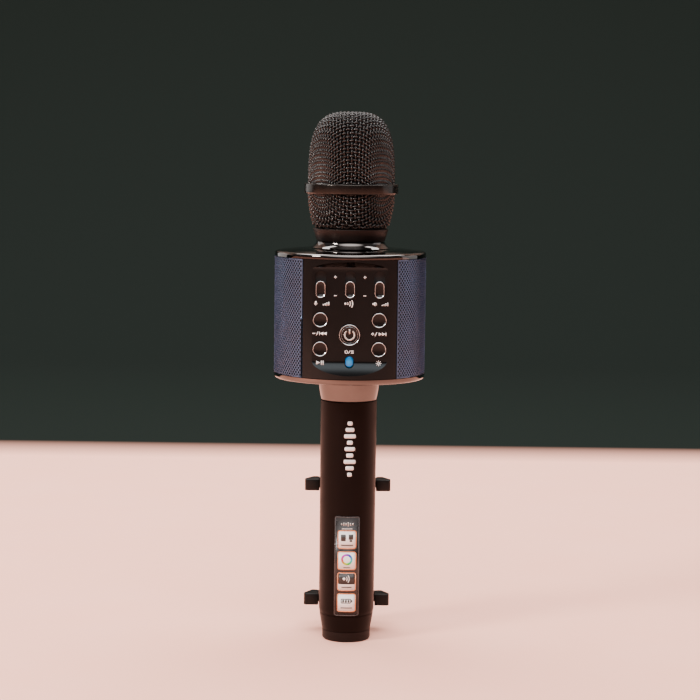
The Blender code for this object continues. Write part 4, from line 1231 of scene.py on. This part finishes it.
def build_controls():
    """Buttons and slider knobs: a dark dished face in a bright bevelled rim, and the blue window."""
    for name, (x, z, radius) in BUTTONS.items():
        node_name = "power_button" if name == "power" else f"button_{name}"
        body = "power" if name == "power" else f"{name}_button"
        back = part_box(node_name)[1].y
        flange = back - BUTTON_FLANGE
        foot = [(-FLANGE_REACH, back), (-FLANGE_REACH, flange), (0.0, flange)]
        across = 2.0 * radius
        add_control(node_name, (across, across, x, z), -BUTTON_FRONT, foot, BUTTON_DISH, body)
        if name == "power":
            face_y = -BUTTON_FRONT + BUTTON_DISH / 2.0
            line = rim_outline(face_y, POWER_LINE_INSET, POWER_LINE_WIDTH)
            piece("power_button_line", lofted(across, across, x, z, line, False), "trim", (), body)

    for name, x in SLIDERS.items():
        node_name = f"slider_knob_{name}"
        low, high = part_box(node_name)
        sizes = (KNOB_WIDTH, KNOB_HEIGHT, x, KNOB_Z)
        add_control(node_name, sizes, low.y, [(0.0, high.y)], KNOB_DISH, f"slider_{name}")

    front = panel_y(0.0, LENS_Z)
    window = [(0.0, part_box("indicator_lens")[1].y)]
    window += [(inset, front + behind) for inset, behind in LENS_OUTLINE]
    lens = lofted(LENS_WIDTH, LENS_HEIGHT, 0.0, LENS_Z, window, True)
    piece("indicator_window", lens, "lens", ("indicator_lens",))


def add_control(node_name, sizes, front, foot, dish, body):
    """A button or a knob, with its front at this y.

    sizes is its width, height, x and z, and foot the (inset, y) points of its back end.
    """
    face = foot + [(0.0, front + CONTROL_SHOULDER), (RIM_WIDTH * 0.6, front + CONTROL_SHOULDER / 2.0)]
    for step in range(DISH_STEPS):
        share = step / (DISH_STEPS - 1)
        inset = RIM_WIDTH + (sizes[0] / 2.0 - RIM_WIDTH - CONTROL_FLAT) * share
        face.append((inset, front + RIM_RISE + dish * math.sin(math.pi / 2.0 * share)))
    piece(f"{node_name}_face", lofted(*sizes, face, True), "control", (node_name,), body)
    rim = rim_outline(front, 0.0, RIM_WIDTH)
    piece(f"{node_name}_rim", lofted(*sizes, rim, False), "trim", (), body)


def rim_outline(front, inset, width):
    """The section of a rim as (inset, y) points: upright outside, with a narrow crest."""
    root = front + RIM_ROOT
    outer = inset - RIM_OUTSET
    return [
        (outer, root),
        (outer, front + 2.0 * RIM_RISE),
        (inset + width * 0.2, front + RIM_RISE * 0.5),
        (inset + width * 0.5, front),
        (inset + width, front + RIM_RISE),
        (inset + width, root),
    ]


def back_y(x, z):
    """The rear panel's face at a place, on the can's own curve at every height."""
    return math.sqrt(BODY_RADIUS**2 - x**2)


def build_back():
    """The rear panel with its socket mouths, and the plastic tongues inside two of the sockets."""
    angle = math.asin(PANEL_HALF_WIDTH / BODY_RADIUS)
    columns = list(BODY_RADIUS * np.sin(np.linspace(-1.0, 1.0, BACK_COLUMNS) * angle))
    rows = list(np.linspace(PANEL_BOTTOM, PANEL_TOP, BACK_ROWS))
    bm = shell_panel(columns, lambda x: rows, back_y, -1.0)
    panel = piece("back_panel", bm, "gloss", ("rear_panel",), sharp=24.0)
    room = 2.0 * SOCKET_ROOM
    outlines = []
    for name in ("usb_socket", "card_socket", "charge_socket"):
        low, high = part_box(name)
        middle_z = (low.z + high.z) / 2.0
        outlines += bar(0.0, middle_z, high.x - low.x + room, high.z - low.z + room, SOCKET_CORNER)
    low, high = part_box("aux_socket")
    across = high.x - low.x + room
    outlines.append(stadium(across, across, 0.0, (low.z + high.z) / 2.0))
    cut(panel, outlines, *BACK_CUT)

    bm = bmesh.new()
    for name, (width, height, lift) in TONGUES.items():
        low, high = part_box(name)
        outline = bar(0.0, (low.z + high.z) / 2.0 + lift, width, height, TONGUE_CORNER)[0]
        add_prism(bm, outline, low.y + TONGUE_START, high.y - TONGUE_SINK)
    bmesh.ops.recalc_face_normals(bm, faces=bm.faces)
    piece("socket_tongues", bm, "inner")


# ---------------------------------------------------------------- printing


def bar(x, z, width, height, corner=0.0):
    """A rectangle about (x, z), with rounded corners if corner isn't 0."""
    if not corner:
        signs = ((-1, -1), (1, -1), (1, 1), (-1, 1))
        return [[(x + sx * width / 2.0, z + sz * height / 2.0) for sx, sz in signs]]
    points = []
    for sx, sz, start in ((1, 1, 0.0), (-1, 1, 90.0), (-1, -1, 180.0), (1, -1, 270.0)):
        centre = (x + sx * (width / 2.0 - corner), z + sz * (height / 2.0 - corner))
        points += rounding(centre, corner, start, start + 90.0)
    return [points]


def disc(x, z, radius, steps=28):
    """A filled circle."""
    return [rounding((x, z), radius, 0.0, 360.0 - 360.0 / steps, steps - 1)]


def ring(x, z, inner, outer, start=0.0, end=360.0, steps=36):
    """Part of a ring between two angles in degrees, as four-sided faces."""
    near = rounding((x, z), inner, start, end, steps)
    far = rounding((x, z), outer, start, end, steps)
    return [[near[i], near[i + 1], far[i + 1], far[i]] for i in range(steps)]


def arrow(x, z, size, way):
    """A solid triangle that points along x, one way or the other."""
    back, tip, half = x - way * size / 2.0, x + way * size / 2.0, size / 2.0
    return [[(back, z - half), (tip, z), (back, z + half)]]


def printed(name, shapes, look, surface, lift=INK, body="microphone"):
    """Thin raised ink: flat outlines laid on a surface. surface gives y at an (x, z)."""
    bm = bmesh.new()
    for outline in shapes:
        bm.faces.new([bm.verts.new((x, 0.0, z)) for x, z in outline])
    bmesh.ops.recalc_face_normals(bm, faces=bm.faces)
    for face in bm.faces:
        if face.normal.y > 0.0:
            face.normal_flip()
    for x in np.arange(-SLICED_HALF, SLICED_HALF + SLICE / 2.0, SLICE):
        geometry = bm.verts[:] + bm.edges[:] + bm.faces[:]
        plane = {"plane_co": (x, 0.0, 0.0), "plane_no": (1.0, 0.0, 0.0)}
        bmesh.ops.bisect_plane(bm, geom=geometry, dist=CUT_TOLERANCE, **plane)
    for vert in bm.verts:
        vert.co.y = surface(vert.co.x, vert.co.z)
    obj = piece(name, bm, look, (), body)
    thick = obj.modifiers.new("ink", "SOLIDIFY")
    thick.thickness = lift
    thick.offset = 1.0
    return obj


def build_panel_print():
    """Generic marks beside the controls, and the power button's sign."""
    marks = []
    for x in (-CONTROL_X / 2.0, CONTROL_X / 2.0):
        marks += sign_mark(x, SIGN_HIGH_Z, SIGN_LINE, True)
        marks += sign_mark(x, SIGN_LOW_Z, SIGN_LINE, False)
    marks += microphone_mark(-CONTROL_X - NAME_LEFT, NAME_Z)
    marks += level_marks(-CONTROL_X + NAME_RIGHT, NAME_Z)
    marks += echo_marks(0.0, NAME_Z)
    marks += speaker_mark(CONTROL_X - NAME_LEFT, NAME_Z)
    marks += level_marks(CONTROL_X + NAME_RIGHT, NAME_Z)
    for side in (-1, 1):
        marks += skip_mark(side)
    marks += play_mark(-CONTROL_X, PLAY_Z)
    marks += sun_mark(CONTROL_X, PLAY_Z)
    marks += mode_mark(MODE_OFFSET, MODE_Z)
    printed("panel_marks", marks, "ink", panel_y)

    radius, half = POWER_SIGN_RADIUS, POWER_SIGN_HALF
    sign = ring(0.0, POWER_Z, radius - half, radius + half, *POWER_SIGN_TURN)
    sign += bar(0.0, POWER_Z + 0.0016, 2.0 * half, POWER_SIGN_STEM, 0.0002)
    printed("power_symbol", sign, "symbol", power_face_y, LINE_INK, "power")


def sign_mark(x, z, line, plus):
    """A minus sign, or a plus sign."""
    marks = bar(x, z, SIGN_LENGTH, line)
    if plus:
        marks += bar(x, z, line, SIGN_LENGTH)
    return marks


def skip_mark(side):
    """A minus or a plus, a slash, and two arrows with a bar at their tips, under an upper button."""
    x = side * CONTROL_X
    marks = sign_mark(x - SKIP_SIGN, SKIP_Z, SKIP_LINE, side > 0)
    marks += slash(x - SKIP_SLASH, SKIP_Z, SLASH_HEIGHT)
    for step in (0.0, SKIP_STEP):
        marks += arrow(x + SKIP_ARROW + step, SKIP_Z, SKIP_STEP, side)
    return marks + bar(x + SKIP_MIDDLE + side * SKIP_STOP, SKIP_Z, SKIP_STOP_LINE, SKIP_STEP)


def play_mark(x, z):
    """An arrow and two bars, for play and pause."""
    marks = arrow(x - PLAY_ARROW, z, PLAY_SIZE, 1)
    for right in PAUSE_BARS:
        marks += bar(x + right, z, PLAY_LINE, PLAY_SIZE)
    return marks


def mode_mark(offset, z):
    """A ring, a slash and three lines."""
    marks = ring(-offset, z, 0.00050, 0.00080) + slash(0.0, z, 0.0015)
    for step in (-1, 0, 1):
        marks += bar(offset, z + step * 0.00055, 0.0013, 0.0003)
    return marks


def power_face_y(x, z):
    """The dished face of the power button."""
    bowl = POWER_RADIUS - RIM_WIDTH
    share = (bowl - math.hypot(x, z - POWER_Z)) / bowl
    dip = math.sin(math.pi / 2.0 * min(max(share, 0.0), 1.0))
    return -BUTTON_FRONT + RIM_RISE + BUTTON_DISH * dip


def slash(x, z, height):
    """A leaning stroke."""
    lean, half = 0.0004, 0.00016
    rise = height / 2.0
    low, high = x - lean, x + lean
    foot = [(low - half, z - rise), (low + half, z - rise)]
    return [foot + [(high + half, z + rise), (high - half, z + rise)]]


def microphone_mark(x, z):
    """A microphone's head in its cradle, on a short stem."""
    marks = bar(x, z + 0.0004, 0.0008, 0.0014, 0.0003)
    marks += ring(x, z + 0.0002, 0.00065, 0.00085, 180.0, 360.0, 12)
    return marks + bar(x, z - 0.0008, 0.0002, 0.0005)


def level_marks(x, z):
    """Four bars that grow to the right."""
    marks = []
    for step in range(4):
        height = 0.0006 + 0.00035 * step
        marks += bar(x + step * 0.00085, z - 0.0009 + height / 2.0, 0.00045, height)
    return marks


def echo_marks(x, z):
    """A dot with three arcs beside it."""
    marks = disc(x - 0.0021, z, 0.0005)
    for step in range(3):
        radius = 0.0012 + 0.0011 * step
        marks += ring(x - 0.0021, z, radius - 0.00022, radius + 0.00022, -30.0, 30.0, 10)
    return marks


def speaker_mark(x, z):
    """A loudspeaker with one arc beside it."""
    marks = bar(x - 0.0007, z, 0.0006, 0.0008)
    back, mouth, narrow, wide = x - 0.0004, x + 0.0003, 0.0004, 0.0010
    marks += [[(back, z - narrow), (mouth, z - wide), (mouth, z + wide), (back, z + narrow)]]
    return marks + ring(x, z, 0.00075, 0.00100, -40.0, 40.0, 8)


def sun_mark(x, z):
    """A small ring with eight rays."""
    marks = ring(x, z, 0.00035, 0.00062, steps=20)
    for step in range(8):
        angle = math.pi / 4.0 * step
        along_x, along_z = math.cos(angle), math.sin(angle)
        near, far, half = 0.00085, 0.00130, 0.00012
        ray = []
        for away, side in ((near, half), (near, -half), (far, -half), (far, half)):
            ray.append((x + away * along_x - side * along_z, z + away * along_z + side * along_x))
        marks.append(ray)
    return marks


def badge_heights():
    """The middles of the label's four badges, from the top down."""
    first = top("feature_label") - BADGE_TOP - BADGE / 2.0
    return [first - BADGE_STEP * step for step in range(4)]


def round_face(radius):
    """The front of an upright cylinder, as a function that gives y at an (x, z)."""
    def face(x, z):
        return -math.sqrt(radius**2 - x**2)

    return face


def build_handle_print():
    """The column of bars on the grip, and the sticker below it."""
    step = (GRIP_MARK_HIGH - GRIP_MARK_LOW) / len(GRIP_MARK_WIDTHS)
    marks = []
    for index, width in enumerate(GRIP_MARK_WIDTHS):
        z = GRIP_MARK_LOW + (index + 0.5) * step
        marks += bar(GRIP_MARK_X, z, width, step * GRIP_MARK_FILL, 0.0006)
    printed("grip_mark", marks, "ink", round_face(HANDLE_RADIUS - 0.00004), TOP_INK)

    low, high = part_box("feature_label")
    middle_z = (low.z + high.z) / 2.0
    face = round_face(LABEL_RADIUS)
    width = high.x - low.x
    height = high.z - low.z
    ground = bar(0.0, middle_z, width, height, 0.0010)
    label = printed("sticker", ground, "label", round_face(LABEL_RADIUS - LABEL_DEPTH), LABEL_DEPTH)
    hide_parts("feature_label")
    edge = outline_bar(0.0, middle_z, width - LABEL_INSET, height - LABEL_INSET, 0.0009, LABEL_LINE)
    printed("sticker_edge", edge, "label_edge", face)
    heading_z = high.z - HEADING_DROP
    heading = []
    for index, tall in enumerate(HEADING_HEIGHTS):
        heading += bar((index - 2.5) * HEADING_STEP, heading_z, 0.00055, HEADING_HEIGHT * tall, 0.0002)
    heading += bar(0.0, heading_z - 0.0023, 0.0052, 0.0004, 0.00015)
    printed("sticker_frame", heading, "symbol", face)
    build_badges(face)


def outline_bar(x, z, width, height, corner, line):
    """The line round a rounded rectangle, as four-sided faces."""
    outer = bar(x, z, width, height, corner)[0]
    inner = bar(x, z, width - 2.0 * line, height - 2.0 * line, corner - line)[0]
    count = len(outer)
    return [[outer[i], outer[(i + 1) % count], inner[(i + 1) % count], inner[i]] for i in range(count)]


def build_badges(face):
    """The sticker's four badges: a card and a plug, a colour wheel, waves, and a battery."""
    heights = badge_heights()
    borders, fills = [], []
    for z in heights:
        borders += outline_bar(0.0, z, BADGE, BADGE, 0.0011, BADGE_LINE)
        fills += bar(0.0, z, BADGE_FILL, BADGE_FILL, 0.0007)
    printed("badge_borders", borders, "orange", face, LINE_INK)
    printed("badge_fills", fills, "white", face, FILL_INK)

    card_z, wheel_z, wave_z, power_z = heights
    marks = card_marks(card_z)
    marks += bar(0.0, wheel_z - 0.0034, 0.0034, 0.0004, 0.00015)
    marks += bar(0.0, wave_z + 0.0014, BADGE_FILL, 0.0053, 0.0006)
    marks += bar(0.0, wave_z - 0.0028, 0.0050, 0.0005, 0.0002)
    marks += battery_marks(power_z)
    printed("badge_marks", marks, "dark_print", face, MARK_INK)
    wheel = ring(0.0, wheel_z + 0.0006, 0.0018, 0.0028)
    printed("badge_wheel", wheel, "colour_wheel", face, MARK_INK)
    middle, half = (-0.0012, wave_z + 0.0014), 0.0002
    waves = disc(*middle, 0.0007)
    for radius in (0.0015, 0.0025):
        waves += ring(*middle, radius - half, radius + half, -42.0, 42.0, 12)
    printed("badge_waves", waves, "white", face, TOP_INK)


def card_marks(z):
    """A card, a plug and the line under them."""
    marks = bar(-0.0018, z + 0.0009, 0.0025, 0.0033, 0.0004)
    marks += bar(0.0019, z + 0.0013, 0.0022, 0.0026, 0.0003)
    marks += bar(0.0019, z - 0.0006, 0.0013, 0.0010)
    return marks + bar(0.0, z - 0.0028, 0.0060, 0.0006, 0.0002)


def battery_marks(z):
    """A battery with three cells, and the line under it."""
    middle = z + 0.0008
    marks = outline_bar(-0.0002, middle, 0.0050, 0.0024, 0.0005, 0.00042)
    marks += bar(0.0026, middle, 0.0006, 0.0012)
    for step in range(3):
        marks += bar(-0.0015 + step * 0.0013, middle, 0.0009, 0.0013)
    return marks + bar(0.0, z - 0.0026, 0.0056, 0.0005, 0.0002)


# ---------------------------------------------------------------- clamp and carried-over nodes


def build_clamp():
    """The phone clamp's CAD shapes, softened."""
    softened("clamp_housing", "clamp", 0.0003)
    softened("clamp_cover", "clamp", 0.0004)
    for side in ("left", "right"):
        softened(f"jaw_{side}", "clamp", 0.0003, f"{side}_jaw")
        for height in ("upper", "lower"):
            softened(f"pad_{side}_{height}", "rubber", 0.0008, f"{side}_jaw")


CARRIED = {
    "inner": ("chassis", "lower_neck_tube", "aux_socket"),
    "foot": ("upper_neck_tube",),
    "rubber": ("capsule_mount",),
    "steel": (
        "mic_capsule", "usb_socket", "card_socket", "charge_socket", "battery_spring", "clamp_spring",
    ),
    "cone": ("speaker_cone_left", "speaker_cone_right"),
    "board": ("main_pcb", "rear_pcb"),
    "cell": ("battery",),
}


def dress_carried():
    """Procedural materials on the CAD nodes that stay."""
    names = {name: look for look, group in CARRIED.items() for name in group}
    for side in ("left", "right"):
        names[f"speaker_driver_{side}"] = "foot"
    for side in SLIDERS:
        names[f"slide_pot_{side}"] = "inner"
    for button in BUTTONS:
        names[f"switch_{button}"] = "inner"
    for name, look in names.items():
        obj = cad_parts[name]
        material, slot = looks[look]
        obj.data.materials.clear()
        obj.data.materials.append(material)


# ---------------------------------------------------------------- stage


def build_stage():
    material = bpy.data.materials.new("floor")
    material.use_nodes = True
    tree = material.node_tree
    shader = tree.nodes["Principled BSDF"]
    pink = mixed(tree, noise(tree, 0.05), (0.96, 0.45, 0.34), (0.97, 0.49, 0.38))
    parts = node(tree, "ShaderNodeSeparateXYZ", {"Vector": places(tree)})
    height = ranged(tree, parts.outputs["Z"], 0.0, 1.0, 0.6, 1.4)
    wall = mixed(tree, height, (0.011, 0.014, 0.012), (0.42, 0.36, 0.31))
    colour = mixed(tree, ranged(tree, parts.outputs["Y"], 0.0, 1.0, 0.56, 0.64), pink, wall)
    tree.links.new(colour, shader.inputs["Base Color"])
    shader.inputs["Roughness"].default_value = 0.9
    shader.inputs["Specular IOR Level"].default_value = 0.0

    bend = BACKDROP_BEND
    outline = [(-FLOOR_HALF_WIDTH, 0.0), (FLOOR_BACK, 0.0)]
    for angle in np.linspace(0.0, math.pi / 2.0, BEND_STEPS)[1:]:
        outline.append((FLOOR_BACK + bend * math.sin(angle), bend * (1.0 - math.cos(angle))))
    outline.append((FLOOR_BACK + bend, BACKDROP_TOP))
    bm = bmesh.new()
    sides = (-FLOOR_HALF_WIDTH, FLOOR_HALF_WIDTH)
    rows = [[bm.verts.new((x, y, z)) for x in sides] for y, z in outline]
    for near, far in zip(rows, rows[1:]):
        bm.faces.new((near[0], near[1], far[1], far[0]))
    mesh = bpy.data.meshes.new("floor")
    bm.to_mesh(mesh)
    bm.free()
    mesh.shade_smooth()
    mesh.materials.append(material)
    floor = add_object("floor", mesh)


def add_light(name, place, target, size, energy, colour=(1.0, 1.0, 1.0)):
    """An area light at a place, facing a target. Its size is in metres and its energy in watts."""
    data = bpy.data.lights.new(name, "AREA")
    data.shape = "RECTANGLE"
    data.size, data.size_y = size
    data.energy = energy
    data.color = colour
    light = add_object(name, data)
    light.location = place
    light.rotation_euler = (Vector(target) - Vector(place)).to_track_quat("-Z", "Y").to_euler()


def build_lights():
    """The key light from the upper left, two walls that edge the sides, and a softbox above."""
    add_light("key", (-1.10, -0.75, 0.85), AIM, (0.30, 0.30), 26.0, (1.0, 0.95, 0.90))
    add_light("left_wall", (-1.3, 1.0, 0.55), AIM, (1.0, 1.0), 4.5, (1.0, 0.97, 0.95))
    add_light("right_wall", (1.6, 0.35, 0.50), AIM, (1.1, 1.1), 3.2, (0.96, 0.97, 1.0))
    add_light("top_softbox", (0.0, 0.55, 1.55), (0.0, 0.25, 0.0), (1.8, 1.0), 52.0)


def smooth_share(tree, value, start, end):
    """A share from 0 to 1 that eases in and out as a value goes from start to end."""
    inputs = {"Value": value, "From Min": start, "From Max": end}
    return node(tree, "ShaderNodeMapRange", inputs, interpolation_type="SMOOTHSTEP").outputs["Result"]


def build_world():
    """A dim room, dark at the horizon, with one bright patch high in front of the object."""
    world = bpy.data.worlds.new("world")
    world.use_nodes = True
    tree = world.node_tree
    direction = node(tree, "ShaderNodeTexCoord", {}).outputs["Generated"]
    parts = node(tree, "ShaderNodeSeparateXYZ", {"Vector": direction})
    height = smooth_share(tree, parts.outputs["Z"], 0.0, SKY_FROM)
    room = mixed(tree, height, HORIZON_COLOUR, SKY_COLOUR)
    inputs = {0: direction, 1: FRONT_GLOW}
    toward = node(tree, "ShaderNodeVectorMath", inputs, operation="DOT_PRODUCT").outputs["Value"]
    colour = mixed(tree, smooth_share(tree, toward, GLOW_EDGE, 1.0), room, GLOW_COLOUR)
    tree.links.new(colour, tree.nodes["Background"].inputs["Color"])
    bpy.context.scene.world = world


def build_camera():
    """A long lens, looking a little down on the front."""
    data = bpy.data.cameras.new("camera")
    data.sensor_width = CAMERA_SENSOR
    data.lens = CAMERA_LENS
    camera = add_object("camera", data)
    tilt = Matrix.Rotation(math.radians(90.0 - CAMERA_DOWN), 4, "X")
    roll = Matrix.Rotation(math.radians(CAMERA_ROLL), 4, "Z")
    camera.matrix_world = Matrix.Translation(CAMERA_PLACE) @ tilt @ roll
    bpy.context.scene.camera = camera


make_metals()
make_plastics()
make_inside()
make_lens()
make_label_looks()
build_grille()
build_neck()
build_caps()
build_handle()
build_sides()
build_front_panel()
build_controls()
build_back()
build_panel_print()
build_handle_print()
build_clamp()
dress_carried()
build_stage()
build_lights()
build_world()
build_camera()
